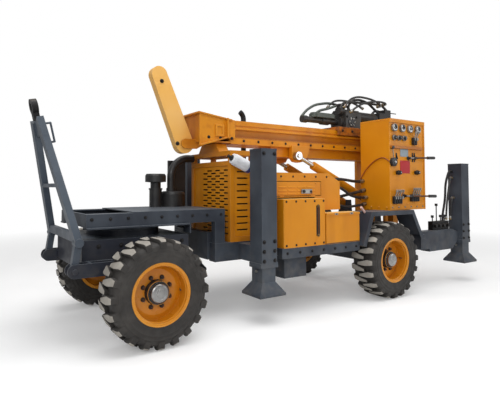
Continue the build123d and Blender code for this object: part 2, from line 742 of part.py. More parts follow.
def on_leg(run, y, off=0.0):
    """Point at a distance up the drawbar from its knees, and behind its plane."""
    x = DRAW_KNEE.x - run * math.sin(DRAW_LEAN) + off * math.cos(DRAW_LEAN)
    z = DRAW_KNEE.z + run * math.cos(DRAW_LEAN) + off * math.sin(DRAW_LEAN)
    return Spot(x, y, z)


def drawbar():
    leg = beam(DRAW_KNEE, DRAW_HEAD, DRAW_LEG_W, DRAW_LEG_D)
    fork = beam(DRAW_PIVOT, DRAW_KNEE, DRAW_FORK_W, DRAW_LEG_D)
    heel_y0 = DRAW_PIVOT.y - DRAW_FORK_W / 2
    heel = bar_y(DRAW_PIVOT.x, DRAW_PIVOT.z, heel_y0, heel_y0 + DRAW_FORK_W, DRAW_HEEL_R)
    knee_y0 = DRAW_KNEE.y - DRAW_LEG_W / 2
    knee = bar_y(DRAW_KNEE.x, DRAW_KNEE.z, knee_y0, knee_y0 + DRAW_LEG_W, DRAW_KNEE_R)
    body = pair(leg + fork + heel + knee)
    body -= pair(bar_y(DRAW_PIVOT.x, DRAW_PIVOT.z, EAR.y0, EAR.y1, DRAW_PIN_R + PIN_FIT))
    bars = ((DRAW_TIE_RUN, DRAW_TIE_D, DRAW_TIE_H), (DRAW_RUNG_RUN, DRAW_RUNG_D, DRAW_RUNG_H))
    for run, depth, height in bars:
        spot = on_leg(run, 0)
        half = DRAW_KNEE.y + run / DRAW_RISE * (DRAW_HEAD.y - DRAW_KNEE.y)
        body += Pos(*spot) * Box(depth, 2 * half, height)
    plate_w = 2 * DRAW_HEAD.y + DRAW_LEG_W
    body += beam(on_leg(DRAW_RISE - HEAD_PLATE_RUN, 0), on_leg(DRAW_RISE, 0), plate_w, HEAD_PLATE_T)
    top = DRAW_RISE - GRIP_TOP_BACK
    low = DRAW_RISE - GRIP_LOW_BACK
    bends = ((top, 0), (top, GRIP_REACH), (low, GRIP_REACH), (low, 0))
    grip = [on_leg(run, GRIP_Y, off) for run, off in bends]
    return body + stick(grip, GRIP_R)


def tow_eye():
    centre = on_leg(DRAW_RISE + EYE_LIFT, 0)
    to_head = EYE_LIFT - SEAT_GAP
    ring = Rot(0, 90, 0) * Cylinder(EYE_R, EYE_T)
    shank = Pos(0, 0, -(EYE_BORE_R + to_head) / 2) * Box(EYE_T, 2 * EYE_SHANK_HALF, to_head - EYE_BORE_R)
    bore = Rot(0, 90, 0) * Cylinder(EYE_BORE_R, 2 * EYE_T)
    return Pos(*centre) * Rot(0, -math.degrees(DRAW_LEAN), 0) * (ring + shank - bore)


# Jacks
def jack_tube(j):
    y = j.side * JACK_Y
    height = j.top - TUBE_Z0
    body = Pos(j.x, y, TUBE_Z0 + height / 2) * Box(TUBE_X, TUBE_Y, height)
    body += Pos(j.x, y, TUBE_Z0 + COLLAR_H / 2) * Box(TUBE_X + COLLAR_GROW, TUBE_Y, COLLAR_H)
    body += Pos(j.x, y, j.top + CAP_T / 2) * Box(TUBE_X + CAP_GROW, TUBE_Y, CAP_T)
    inner = height - CAP_T + CUT_OVER
    hollow = Box(TUBE_X - 2 * TUBE_WALL, TUBE_Y - 2 * TUBE_WALL, inner)
    return body - Pos(j.x, y, TUBE_Z0 - CUT_OVER + inner / 2) * hollow


def jack_leg(j):
    y = j.side * JACK_Y
    width = TUBE_X - 2 * TUBE_WALL - 2 * SEAT_GAP
    depth = TUBE_Y - 2 * TUBE_WALL - 2 * SEAT_GAP
    foot_depth = FOOT_W - FOOT_TRIM
    top = j.top - LEG_HEAD_DROP
    shaft = Pos(j.x, y, (FOOT_Z1 + top) / 2) * Box(width, depth, top - FOOT_Z1)
    low = Pos(j.x, y, FOOT_Z0 + FOOT_RIM) * Rectangle(FOOT_W, foot_depth)
    high = Pos(j.x, y, FOOT_Z1) * Rectangle(width, depth)
    base = Pos(j.x, y, FOOT_Z0 + FOOT_RIM / 2) * Box(FOOT_W, foot_depth, FOOT_RIM)
    return shaft + loft([low.face(), high.face()]) + base


# Power unit
def radiator_frame():
    r = RADIATOR
    parts = []
    for x in (r.x0, r.x1 - POST_W):
        for y in (r.y0, r.y1 - POST_W):
            parts.append(cut_block(x, x + POST_W, y, y + POST_W, r.z0, r.z1))
    for z in (r.z0, TOP_BAR_Z, r.z1 - POST_W):
        for x in (r.x0, r.x1 - POST_W):
            parts.append(cut_block(x, x + POST_W, r.y0, r.y1, z, z + POST_W))
        for y in (r.y0, r.y1 - POST_W):
            parts.append(cut_block(r.x0, r.x1, y, y + POST_W, z, z + POST_W))
    low = r.z1 - POST_W
    high = CROWN_BASE_Z - CROWN_SHEET - MOVE_GAP - SEAT_GAP
    saddle = ((-REST_HALF_LOW, low), (REST_HALF_LOW, low), (REST_HALF_HIGH, high), (-REST_HALF_HIGH, high))
    parts.append(plate_yz(saddle, r.x0 + REST_INSET, r.x0 + REST_INSET + REST_T))
    return joined(parts)


def grilles():
    """Three slotted sheets between the radiator frame's posts."""
    r = RADIATOR
    y0 = r.y0 + POST_W + SEAT_GAP
    y1 = r.y1 - POST_W - SEAT_GAP
    z0 = r.z0 + POST_W + SEAT_GAP
    z1 = TOP_BAR_Z - SEAT_GAP
    x = r.x0 + GRILLE_INSET
    front = cut_block(x, x + GRILLE_T, y0, y1, z0, z1)
    slots = []
    for row in range(SLOT_ROWS - 1):
        for column in range(SLOT_COLUMNS - 1):
            y = y0 + SLOT_L / 2 + (column + (row % 2) / 2) * SLOT_PITCH_Y
            z = z0 + (row + 1) * SLOT_PITCH_Z
            slots.append(Pos(x + GRILLE_T / 2, y, z) * Box(2 * GRILLE_T, SLOT_L, SLOT_H))
    front = front.cut(*slots)
    x0 = r.x0 + POST_W + SEAT_GAP
    x1 = r.x1 - POST_W - SEAT_GAP
    sheets = [front]
    for y in (r.y0 + GRILLE_INSET, r.y1 - GRILLE_INSET - GRILLE_T):
        sheet = cut_block(x0, x1, y, y + GRILLE_T, z0, z1)
        holes = []
        for row in range(SIDE_SLOT_ROWS):
            z = z0 + SIDE_SLOT_START + row * SIDE_SLOT_PITCH_Z
            holes.append(Pos((x0 + x1) / 2, y + GRILLE_T / 2, z) * Box(SIDE_SLOT_L, 2 * GRILLE_T, SLOT_H))
        sheets.append(sheet.cut(*holes))
    return joined(sheets)


def hood():
    h = HOOD
    skirt = HOOD_SKIRT_Z - POST_W
    outer = (
        (h.x0, h.z0),
        (h.x0, h.z1),
        (HOOD_CHAMFER_X, h.z1),
        (h.x1, HOOD_CHAMFER_Z),
        (h.x1, HOOD_SKIRT_Z),
        (HOOD_SKIRT_X, HOOD_SKIRT_Z),
        (HOOD_SKIRT_X, h.z0),
    )
    inner = (
        (h.x0 + SHEET, skirt),
        (h.x0 + SHEET, h.z1 - SHEET),
        (HOOD_CHAMFER_X - SHEET, h.z1 - SHEET),
        (h.x1 - SHEET, HOOD_CHAMFER_Z - SHEET),
        (h.x1 - SHEET, skirt),
    )
    body = plate_xz(outer, h.y0, h.y1) - plate_xz(inner, h.y0 + SHEET, h.y1 - SHEET)
    body -= cut_block(PANEL_X0, PANEL_X1, h.y0 - CUT_OVER, h.y1 + CUT_OVER, PANEL_Z0, PANEL_Z1)
    duct_y0 = RADIATOR.y0 + POST_W / 2
    duct_y1 = RADIATOR.y1 - POST_W / 2
    duct_x1 = h.x0 + SHEET + CUT_OVER
    body -= cut_block(h.x0 - CUT_OVER, duct_x1, duct_y0, duct_y1, h.z0 - CUT_OVER, h.z1 - POST_W)
    return body - bar_z(STACK_X, STACK_Y, h.z1 - 2 * SHEET, h.z1 + CUT_OVER, STACK_R + MOVE_GAP)


def hood_panel(side):
    y = HOOD.y1
    gap = MOVE_GAP
    body = cut_block(PANEL_X0 + gap, PANEL_X1 - gap, y - SHEET, y, PANEL_Z0 + gap, PANEL_Z1 - gap)
    for x in (PANEL_X0 + HINGE_INSET, PANEL_X1 - HINGE_INSET - HINGE_W):
        body += cut_block(x, x + HINGE_W, y - SHEET, y, PANEL_Z0 + SEAT_GAP, PANEL_Z0 + gap)
    for row in range(LOUVRE_ROWS):
        z = PANEL_Z0 + LOUVRE_START_Z + row * LOUVRE_PITCH_Z
        for column in range(LOUVRE_COLUMNS):
            x = PANEL_X0 + LOUVRE_START_X + column * LOUVRE_PITCH_X
            body += plate_yz(((y, z), (y + LOUVRE_OUT, z), (y, z + LOUVRE_H)), x, x + LOUVRE_L)
    body += bar_y(PANEL_X0 + LATCH_X, PANEL_Z0 + LATCH_Z, y, y + LOUVRE_OUT, LATCH_R)
    return body if side > 0 else flip(body)


def exhaust_pipe():
    root = ENGINE.z1 - STACK_ROOT_DROP
    up = bar_z(STACK_X, STACK_Y, root, STACK_BEND_Z, STACK_R)
    elbow = bar_y(STACK_X, root, ENGINE.y1 - PLATE, STACK_Y + STACK_R, STACK_R)
    ring = Plane(origin=(STACK_X, STACK_Y, STACK_BEND_Z), z_dir=(0, 0, 1)) * Circle(STACK_R)
    turn = revolve(ring, Axis((STACK_X - STACK_BEND_R, STACK_Y, STACK_BEND_Z), (0, 1, 0)), -STACK_TURN)
    return up + elbow + turn


def engine_block():
    return block(ENGINE) + block(CORE) + block(SHROUD) + exhaust_pipe()


# Side boxes
def shell_box(s, wall):
    """Closed sheet-metal box with an empty inside."""
    inner = cut_block(s.x0 + wall, s.x1 - wall, s.y0 + wall, s.y1 - wall, s.z0 + wall, s.z1 - wall)
    return block(s) - inner


def side_tanks():
    shell = shell_box(TANK, SHEET)
    outer_h = TANK.z1 - TANK.z0 - SHEET
    corners = shell.edges().filter_by(Axis.Z).filter_by(lambda edge: edge.length > outer_h)
    return pair(fillet(corners, TANK_FILLET))


def tool_box():
    t = TOOL_BOX
    inner = cut_block(t.x0 + SHEET, t.x1 - SHEET, t.y0 + SHEET, t.y1 - SHEET, t.z0 + SHEET, t.z1 + CUT_OVER)
    return flip(block(t) - inner)


def tool_box_lid():
    t = TOOL_BOX
    z0 = t.z1 + SEAT_GAP
    return flip(cut_block(t.x0, t.x1, t.y0, t.y1 + LID_LIP, z0, z0 + LID_T))


def battery_box():
    return shell_box(TOOL_BOX._replace(z1=TOOL_BOX.z1 + LID_T), SHEET)


# Rear wheel arches
def offset_in(points, depth):
    """Outline points moved to the inner side of an open path."""
    moved = []
    count = len(points)
    for i, (x, z) in enumerate(points):
        before = points[max(i - 1, 0)]
        after = points[min(i + 1, count - 1)]
        legs = []
        for (ax, az), (bx, bz) in ((before, (x, z)), ((x, z), after)):
            length = math.hypot(bx - ax, bz - az)
            if length > 0:
                legs.append(((bz - az) / length, -(bx - ax) / length))
        nx = sum(n[0] for n in legs) / len(legs)
        nz = sum(n[1] for n in legs) / len(legs)
        scale = depth / (nx * nx + nz * nz)
        moved.append((x + nx * scale, z + nz * scale))
    return moved


def rear_fenders():
    path = [(WHEELBASE + step, z) for step, z in ARCH_STEPS]
    rim_line = path + offset_in(path, ARCH_DEPTH)[::-1]
    skin_line = path + offset_in(path, ARCH_SHEET)[::-1]
    edge = plate_xz(rim_line, ARCH_Y1 - ARCH_SHEET, ARCH_Y1)
    return pair(edge + plate_xz(skin_line, ARCH_Y0, ARCH_Y1))


# Controls
def control_cabinet():
    c = CABINET
    body = shell_box(c, SHEET)
    leg = CABINET_LEG
    for x in (leg.x0, leg.x1 - CABINET_LEG_W):
        body += cut_block(x, x + CABINET_LEG_W, leg.y0, leg.y1, leg.z0, leg.z1)
    body += cut_block(c.x0, c.x1, c.y0 - HEADER_OUT, c.y1, c.z1, c.z1 + HEADER_T)
    body += cut_block(c.x0, c.x1, c.y0 - HEADER_OUT, c.y0, c.z1 - HEADER_DROP, c.z1)
    return body + cut_block(c.x1 - EDGE_W, c.x1, c.y0 - EDGE_OUT, c.y0, c.z0, c.z1 - HEADER_DROP)


def lever_row(row):
    """Block of spools with its upright levers and knobs."""
    c = CABINET
    x0 = c.x0 + row.x
    z0 = c.z0 + row.z
    out = c.y0 - LEVER_BLOCK_OUT
    parts = [cut_block(x0, x0 + row.count * LEVER_PITCH, out, c.y0, z0, z0 + LEVER_BLOCK_H)]
    length = math.hypot(LEVER_RISE, LEVER_LEAN)
    for step in range(row.count):
        x = x0 + (step + 0.5) * LEVER_PITCH
        foot = (x, (out + c.y0) / 2, z0 + LEVER_BLOCK_H / 2)
        tip = (x, foot[1] - LEVER_LEAN, foot[2] + LEVER_RISE)
        parts.append(rod(foot, tip, 0, length, LEVER_R))
        parts.append(rod(foot, tip, length - LEVER_KNOB_L, length, LEVER_KNOB_R))
    return joined(parts)


def panel_handle(h):
    """Bent bar that leaves the panel and runs rearwards to its grip."""
    c = CABINET
    out = c.y0 - HANDLE_OUT
    root = (c.x0 + h.x, c.y0, c.z0 + h.z)
    bend = (root[0], out, root[2])
    tip = (c.x0 + h.tip_x, out, c.z0 + h.tip_z)
    length = (Vector(*tip) - Vector(*bend)).length
    return stick((root, bend, tip), HANDLE_R) + rod(bend, tip, length - HANDLE_GRIP_L, length, HANDLE_GRIP_R)


def panel_controls():
    c = CABINET
    bar = Slab(c.x0 + BAR.x0, c.x0 + BAR.x1, c.y0 + BAR.y0, c.y0 + BAR.y1, c.z0 + BAR.z0, c.z0 + BAR.z1)
    parts = [block(bar)]
    for dial in DIALS:
        parts.append(bar_y(c.x0 + dial.x, c.z0 + dial.z, c.y0 - DIAL_T, c.y0, dial.r))
    parts += [lever_row(row) for row in LEVER_ROWS]
    parts += [panel_handle(handle) for handle in HANDLES]
    return joined(parts)


def valve_bank():
    """Rear valve block with spool caps, levers and the rear jack's hose."""
    v = VALVES
    parts = [block(v)]
    pitch = (v.x1 - v.x0) / SPOOL_COUNT
    y = (v.y0 + v.y1) / 2
    for step in range(SPOOL_COUNT):
        x = v.x0 + (step + 0.5) * pitch
        height = TALL_STEM_H if step == 1 else SHORT_STEM_H
        top = v.z1 + height
        parts.append(bar_y(x, (v.z0 + v.z1) / 2, v.y0 - SPOOL_OUT, v.y0, SPOOL_R))
        parts.append(bar_z(x, y, v.z1, top, STEM_R))
        parts.append(bar_z(x, y, top - STEM_KNOB_L, top, STEM_KNOB_R))
    route = [(REAR_JACK_X - TUBE_X / 2 - SEAT_GAP, JACK_HOSE.y, JACK_HOSE_Z)]
    route += [(REAR_JACK_X + step, JACK_HOSE.y, z) for step, z in JACK_HOSE.path]
    return joined(parts) + hose(route, JACK_HOSE_R)


def air_cleaners():
    one = CAN_ONE
    two = CAN_TWO
    profile = make_face(Polyline(*[(r, 0, z) for r, z in CAN_ONE_PROFILE], close=True))
    first = Pos(*one) * revolve(profile, Axis.Z)
    second = bar_z(two.x, two.y, two.z, two.z + CAN_TWO_H, CAN_TWO_R)
    second = fillet(second.edges().sort_by(Axis.Z)[-1], CAN_TWO_FILLET)
    top = two.z + CAN_TWO_H
    path = FilletPolyline(
        (INTAKE_X, two.y, top),
        (INTAKE_X, two.y, INTAKE_Z),
        (RADIATOR.x0 - SEAT_GAP, two.y, INTAKE_Z),
        radius=INTAKE_BEND_R,
    )
    intake = sweep(Plane(origin=(INTAKE_X, two.y, top), z_dir=(0, 0, 1)) * Circle(INTAKE_R), path=path)
    collar = bar_z(INTAKE_X, two.y, top, top + INTAKE_COLLAR_H, INTAKE_COLLAR_R)
    return first + (second + intake + collar) + block(COOLER)


# Mast
def mast_posts():
    x = MAST_PIVOT.x
    z = MAST_PIVOT.z
    outline = (
        (x - POST_HALF_X, POST_Z0),
        (x + POST_HALF_X, POST_Z0),
        (x + POST_HALF_X, z),
        (x + POST_CROWN, z + POST_CROWN),
        (x - POST_CROWN, z + POST_CROWN),
        (x - POST_HALF_X, z),
    )
    bore = bar_y(x, z, POST_Y0 - CUT_OVER, POST_Y1 + CUT_OVER, MAST_PIN_R + PIN_FIT)
    return pair(plate_xz(outline, POST_Y0, POST_Y1) - bore)


def mast_beam():
    m = MAST_BOX
    k = MAST_KEEL
    half = MAST_FLANGE_HALF
    body = block(m) + block(k)
    body += cut_block(m.x0, m.x1, -half, half, m.z1 - MAST_FLANGE_T, m.z1)
    body += cut_block(m.x0, m.x1, -half, half, m.z0, m.z0 + MAST_BAND_H)
    rail = cut_block(m.x0, m.x1, MAST_RAIL_Y0, MAST_RAIL_GROOVE_Y, m.z1, MAST_RAIL_LIP_Z)
    rail += cut_block(m.x0, m.x1, MAST_RAIL_Y0, MAST_RAIL_Y1, MAST_RAIL_LIP_Z, MAST_RAIL_Z1)
    boss = bar_y(MAST_PIVOT.x, MAST_PIVOT.z, k.y1, MAST_BOSS_Y, MAST_BOSS_R)
    pin = bar_y(MAST_PIVOT.x, MAST_PIVOT.z, MAST_BOSS_Y, POST_Y1 + PLATE, MAST_PIN_R)
    lug_line = [(LIFT_HIGH.x + dx, LIFT_HIGH.z + dz) for dx, dz in LIFT_LUG_STEPS]
    lug = plate_xz(lug_line, LIFT_LUG_Y0, LIFT_LUG_Y1)
    return body + pair(rail + boss + pin + lug)


def crown_top(x):
    """Height of the crown's sloping top."""
    share = (x - CROWN_X0) / (CROWN_KINK_X - CROWN_X0)
    return CROWN_TOP_FRONT + share * (CROWN_TOP_REAR - CROWN_TOP_FRONT)


def crown_side():
    """Tapered side plate with its bottom lip, end flange and pad."""
    t = CROWN_SHEET
    y = MAST_FLANGE_HALF + SEAT_GAP
    out = y + t
    plate = plate_xz(
        (
            (CROWN_X0, CROWN_TOP_FRONT),
            (CROWN_X0, CROWN_LOW_FRONT),
            (CROWN_KINK_X, CROWN_LOW_REAR),
            (CROWN_TAIL_X, CROWN_LOW_REAR),
            (CROWN_TAIL_X, crown_top(CROWN_TAIL_X)),
        ),
        y,
        out,
    )
    lip = plate_xz(
        (
            (CROWN_X0, CROWN_LOW_FRONT),
            (CROWN_KINK_X, CROWN_LOW_REAR),
            (CROWN_KINK_X, CROWN_LOW_REAR + t),
            (CROWN_X0, CROWN_LOW_FRONT + t),
        ),
        out,
        out + CROWN_LIP,
    )
    flange_y = out + CROWN_FLANGE_OUT
    flange = cut_block(CROWN_KINK_X - t, CROWN_KINK_X, out, flange_y, CROWN_LOW_REAR, CROWN_TOP_REAR)
    p = CROWN_PAD
    wall = CROWN_PAD_WALL
    face = out + p.y1
    pad = cut_block(p.x0, p.x1, out, face, p.z0, p.z1)
    floor = face - CROWN_PAD_DEPTH
    pad -= cut_block(p.x0 + wall, p.x1 - wall, floor, face + CUT_OVER, p.z0 + wall, p.z1 - wall)
    return plate + lip + flange + pad


def arm_ear():
    """Ear that carries the arm's pin, running back under the crown's base."""
    x, y, z = ARM_ROOT
    r = EAR_PLATE_R
    under = CROWN_BASE_Z - CROWN_SHEET / 2
    outline = (
        (x, z - r),
        (CROWN_FACE_X + CROWN_SHEET, z - r),
        (EAR_PLATE_TAIL_X, CROWN_BASE_Z - CROWN_SHEET),
        (EAR_PLATE_TAIL_X, under),
        (CROWN_FACE_X + CROWN_SHEET / 2, under),
        (CROWN_FACE_X + CROWN_SHEET / 2, z + r),
        (x, z + r),
    )
    y0 = EAR_PLATE_Y
    y1 = EAR_PLATE_Y + EAR_PLATE_T
    return plate_xz(outline, y0, y1) + bar_y(x, z, y0, y1, r)


def crown_head():
    t = CROWN_SHEET
    side_y = MAST_FLANGE_HALF + SEAT_GAP
    inner_y = side_y + CUT_OVER
    roof_x0 = CROWN_X0 - t
    roof = (
        (roof_x0, crown_top(roof_x0)),
        (CROWN_X1, crown_top(CROWN_X1)),
        (CROWN_X1, crown_top(CROWN_X1) - t),
        (roof_x0, crown_top(roof_x0) - t),
    )
    roof_y = side_y + 2 * t
    body = pair(crown_side()) + plate_xz(roof, -roof_y, roof_y)
    front_z1 = crown_top(CROWN_FACE_X) - t / 2
    back_z1 = crown_top(CROWN_X1) - t / 2
    body += cut_block(CROWN_FACE_X, CROWN_FACE_X + t, -inner_y, inner_y, CROWN_BASE_Z - t, front_z1)
    body += cut_block(CROWN_FACE_X, CROWN_X1, -inner_y, inner_y, CROWN_BASE_Z - t, CROWN_BASE_Z)
    body += cut_block(CROWN_X1 - t, CROWN_X1, -inner_y, inner_y, CROWN_BASE_Z, back_z1)
    body += pair(arm_ear())
    return body + bar_y(ARM_ROOT.x, ARM_ROOT.z, -EAR_PLATE_Y, EAR_PLATE_Y, ARM_PIN_R)


def crown_arm():
    """Flat tapered arm with round ends, its edges tangent to both."""
    root = Vector(ARM_ROOT.x, 0, ARM_ROOT.z)
    tip = Vector(ARM_TIP.x, 0, ARM_TIP.z)
    run = (tip - root).normalized()
    across = Vector(run.Z, 0, -run.X)
    taper = (ARM_ROOT_R - ARM_TIP_R) / (tip - root).length
    square = math.sqrt(1 - taper * taper)
    corners = []
    ends = ((root, ARM_ROOT_R, 1), (tip, ARM_TIP_R, 1), (tip, ARM_TIP_R, -1), (root, ARM_ROOT_R, -1))
    for centre, r, hand in ends:
        corner = centre + run * (r * taper) + across * (hand * r * square)
        corners.append((corner.X, corner.Z))
    body = plate_xz(corners, -ARM_HALF_T, ARM_HALF_T)
    for spot, r in ((ARM_ROOT, ARM_ROOT_R), (ARM_TIP, ARM_TIP_R)):
        body += bar_y(spot.x, spot.z, -ARM_HALF_T, ARM_HALF_T, r)
    through = ARM_HALF_T + CUT_OVER
    return body - bar_y(ARM_ROOT.x, ARM_ROOT.z, -through, through, ARM_PIN_R + PIN_FIT)


# Power head
def head_sled():
    s = HEAD_SLED
    claw = cut_block(s.x0, s.x1, MAST_FLANGE_HALF + MOVE_GAP, s.y1, HEAD_CLAW_Z, s.z0)
    return block(s) + pair(claw)


def gear_case():
    g = GEAR_CASE
    slope = GEAR_CASE_CHAMFER
    outline = (
        (g.y0, g.z0),
        (g.y1, g.z0),
        (g.y1, g.z1 - slope),
        (g.y1 - slope, g.z1),
        (g.y0 + slope, g.z1),
        (g.y0, g.z1 - slope),
    )
    nose = bar_x(0, QUILL_Z, GEAR_NOSE_X, g.x0, GEAR_NOSE_R)
    front = bar_x(FRONT_MOTOR.y, FRONT_MOTOR.z, FRONT_MOTOR.x, g.x0, FRONT_MOTOR_R)
    return plate_yz(outline, g.x0, g.x1) + nose + front


def quill():
    """Drive tube ahead of the gear case, with its oval cover."""
    tube = bar_x(0, QUILL_Z, QUILL_X0, GEAR_NOSE_X, QUILL_R)
    tube += bar_x(0, QUILL_Z, QUILL_X0, QUILL_X0 + QUILL_COLLAR_L, QUILL_COLLAR_R)
    tube += bar_x(0, QUILL_Z, QUILL_SWELL_X, QUILL_SWELL_X + QUILL_SWELL_L, QUILL_SWELL_R)
    c = COVER
    middle = (c.x0 + c.x1) / 2
    for inset, z0, z1 in ((0, c.z0, c.z1 - COVER_DOME), (COVER_DOME, c.z1 - COVER_DOME, c.z1)):
        oval = SlotOverall(c.x1 - c.x0 - 2 * inset, c.y1 - c.y0 - 2 * inset)
        tube += extrude(Pos(middle, 0, z0) * oval, amount=z1 - z0)
    return tube


def head_drives():
    """Two hydraulic motors, the swivel and the valve block behind the gear case."""
    g = GEAR_CASE
    motor = bar_x(MOTOR_Y, MOTOR_Z, g.x1, MOTOR_X1, MOTOR_R)
    motor += bar_x(MOTOR_Y, MOTOR_Z, MOTOR_X1, MOTOR_X1 + MOTOR_END_L, MOTOR_END_R)
    swivel = bar_x(0, QUILL_Z, g.x1, SWIVEL_X1, SWIVEL_R)
    m = MANIFOLD
    valves = cut_block(m.x0, m.x1, m.y0, m.y1, m.z0, MANIFOLD_STEP_Z)
    valves += cut_block(MANIFOLD_STEP_X, m.x1, m.y0, m.y1, MANIFOLD_STEP_Z, m.z1)
    tap = bar_x((m.y0 + m.y1) / 2, MAST_TAP_Z, m.x1, m.x1 + MAST_TAP_L, MAST_TAP_R)
    return pair(motor) + swivel + valves + tap


def power_head():
    body = head_sled() + gear_case() + quill() + head_drives()
    for route in HEAD_HOSES:
        body += hose([(MAST_PIVOT.x + step, route.y, z) for step, z in route.path], HEAD_HOSE_R)
    return body


# Lift cylinders
def lift_pins(side):
    return Spot(LIFT_LOW.x, side * LIFT_Y, LIFT_LOW.z), Spot(LIFT_HIGH.x, side * LIFT_Y, LIFT_HIGH.z)


def lift_barrel(side):
    low, high = lift_pins(side)
    y0 = side * LIFT_Y - EYE_HALF_W
    y1 = side * LIFT_Y + EYE_HALF_W
    body = rod(low, high, BARREL_START - BARREL_END_WALL, BARREL_END, BARREL_R)
    body -= rod(low, high, BARREL_START, BARREL_END - GLAND_T, BARREL_BORE_R)
    body -= rod(low, high, BARREL_START, BARREL_END + CUT_OVER, ROD_R + PIN_FIT)
    body += bar_y(low.x, low.z, y0, y1, EYE_LINK_R)
    return body - bar_y(low.x, low.z, y0 - CUT_OVER, y1 + CUT_OVER, LIFT_PIN_R + PIN_FIT)


def lift_rod(side):
    low, high = lift_pins(side)
    reach = (Vector(*high) - Vector(*low)).length
    body = rod(low, high, PISTON_START, PISTON_START + PISTON_T, BARREL_BORE_R - PIN_FIT)
    body += rod(low, high, PISTON_START, reach, ROD_R)
    body += bar_y(high.x, high.z, side * LIFT_Y - EYE_HALF_W, side * LIFT_Y + EYE_HALF_W, EYE_LINK_R)
    pin_ends = sorted((side * (LIFT_LUG_Y1 + LINK_GAP), side * (LIFT_Y + EYE_HALF_W + PLATE)))
    return body + bar_y(high.x, high.z, *pin_ends, LIFT_PIN_R)


WHEELS = (
    ("front_left", 0.0, -1),
    ("front_right", 0.0, 1),
    ("rear_left", WHEELBASE, -1),
    ("rear_right", WHEELBASE, 1),
)

nodes = {
    "main_frame": main_frame(),
    "platform_sills": platform_sills(),
    "gooseneck": gooseneck(),
    "jack_tubes": joined([jack_tube(jack) for jack in JACKS]),
    "rear_fenders": rear_fenders(),
    "rear_axle": axle(WHEELBASE),
    "engine_block": engine_block(),
    "radiator_frame": radiator_frame(),
    "grilles": grilles(),
    "hood": hood(),
    "hood_panel_left": hood_panel(-1),
    "hood_panel_right": hood_panel(1),
    "side_tanks": side_tanks(),
    "tool_box": tool_box(),
    "tool_box_lid": tool_box_lid(),
    "battery_box": battery_box(),
    "control_cabinet": control_cabinet(),
    "panel_controls": panel_controls(),
    "mast_posts": mast_posts(),
    "air_cleaners": air_cleaners(),
    "valve_bank": valve_bank(),
    "steer_carriage": steer_carriage(),
    "front_axle": axle(0.0),
    "drawbar": drawbar(),
    "tow_eye": tow_eye(),
    "mast_beam": mast_beam(),
    "crown_head": crown_head(),
    "crown_arm": crown_arm(),
    "power_head": power_head(),
    "lift_barrel_left": lift_barrel(-1),
    "lift_barrel_right": lift_barrel(1),
    "lift_rod_left": lift_rod(-1),
    "lift_rod_right": lift_rod(1),
}
for name, x, side in WHEELS:
    hub = Pos(x, side * HALF_TRACK, TYRE_R)
    nodes["tyre_" + name] = hub * tyre(side)
    nodes["rim_" + name] = hub * rim(side)
for jack in JACKS:
    nodes["jack_leg_" + jack.name] = jack_leg(jack)

# Origin in the middle of the length, on the ground
front_end = min(shape.bounding_box().min.X for shape in nodes.values())
rear_end = max(shape.bounding_box().max.X for shape in nodes.values())
to_middle = Pos(-(front_end + rear_end) / 2, 0, 0)
for name, shape in nodes.items():
    export_step(to_middle * shape, "parts/" + name + ".step")
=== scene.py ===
import json
import math
from collections import namedtuple

import bmesh
import bpy
from mathutils import Matrix, Quaternion, Vector


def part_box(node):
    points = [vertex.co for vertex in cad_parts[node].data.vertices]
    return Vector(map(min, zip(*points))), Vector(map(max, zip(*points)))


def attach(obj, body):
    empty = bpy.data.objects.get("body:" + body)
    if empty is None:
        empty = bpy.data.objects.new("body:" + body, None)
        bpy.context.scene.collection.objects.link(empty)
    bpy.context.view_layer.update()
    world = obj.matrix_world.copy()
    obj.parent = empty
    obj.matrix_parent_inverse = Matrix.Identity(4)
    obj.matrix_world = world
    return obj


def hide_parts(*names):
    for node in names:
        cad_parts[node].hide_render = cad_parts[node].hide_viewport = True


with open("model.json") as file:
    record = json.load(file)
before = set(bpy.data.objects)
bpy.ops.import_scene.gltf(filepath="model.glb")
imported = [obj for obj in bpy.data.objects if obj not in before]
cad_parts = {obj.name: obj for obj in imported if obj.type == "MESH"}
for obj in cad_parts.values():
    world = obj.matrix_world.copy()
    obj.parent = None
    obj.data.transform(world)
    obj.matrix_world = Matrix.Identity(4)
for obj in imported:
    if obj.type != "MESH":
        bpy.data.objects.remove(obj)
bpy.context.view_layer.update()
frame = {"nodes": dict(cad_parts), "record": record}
nodes = frame["nodes"]

# Camera fitted to the photograph, in metres and degrees
CAMERA_PLACE = (-2.9944, -3.670, 1.149)
CAMERA_YAW = 32.89
CAMERA_PITCH = 2.06
CAMERA_ROLL = -0.1
CAMERA_LENS = 31.68
CAMERA_SHIFT = (0.044, -0.06)

# Studio: world light, extra tone of the floor that only the camera sees, and lamps
WORLD_LIGHT = 0.42
FLOOR_LIFT = 0.22
Lamp = namedtuple("Lamp", "name place aim size power")
LAMPS = (
    Lamp(name="overhead", place=(-0.5, -1.0, 6.0), aim=(0.2, 0.0, 0.8), size=(6.0, 5.0), power=270),
    Lamp(name="key", place=(-5.5, -6.0, 4.2), aim=(0.0, 0.0, 0.9), size=(3.5, 3.0), power=170),
    Lamp(name="fill", place=(5.0, -5.0, 2.5), aim=(0.5, 0.0, 0.9), size=(3.0, 2.5), power=60),
)

WHEELS = ("front_left", "front_right", "rear_left", "rear_right")
SIDES = {"left": -1, "right": 1}

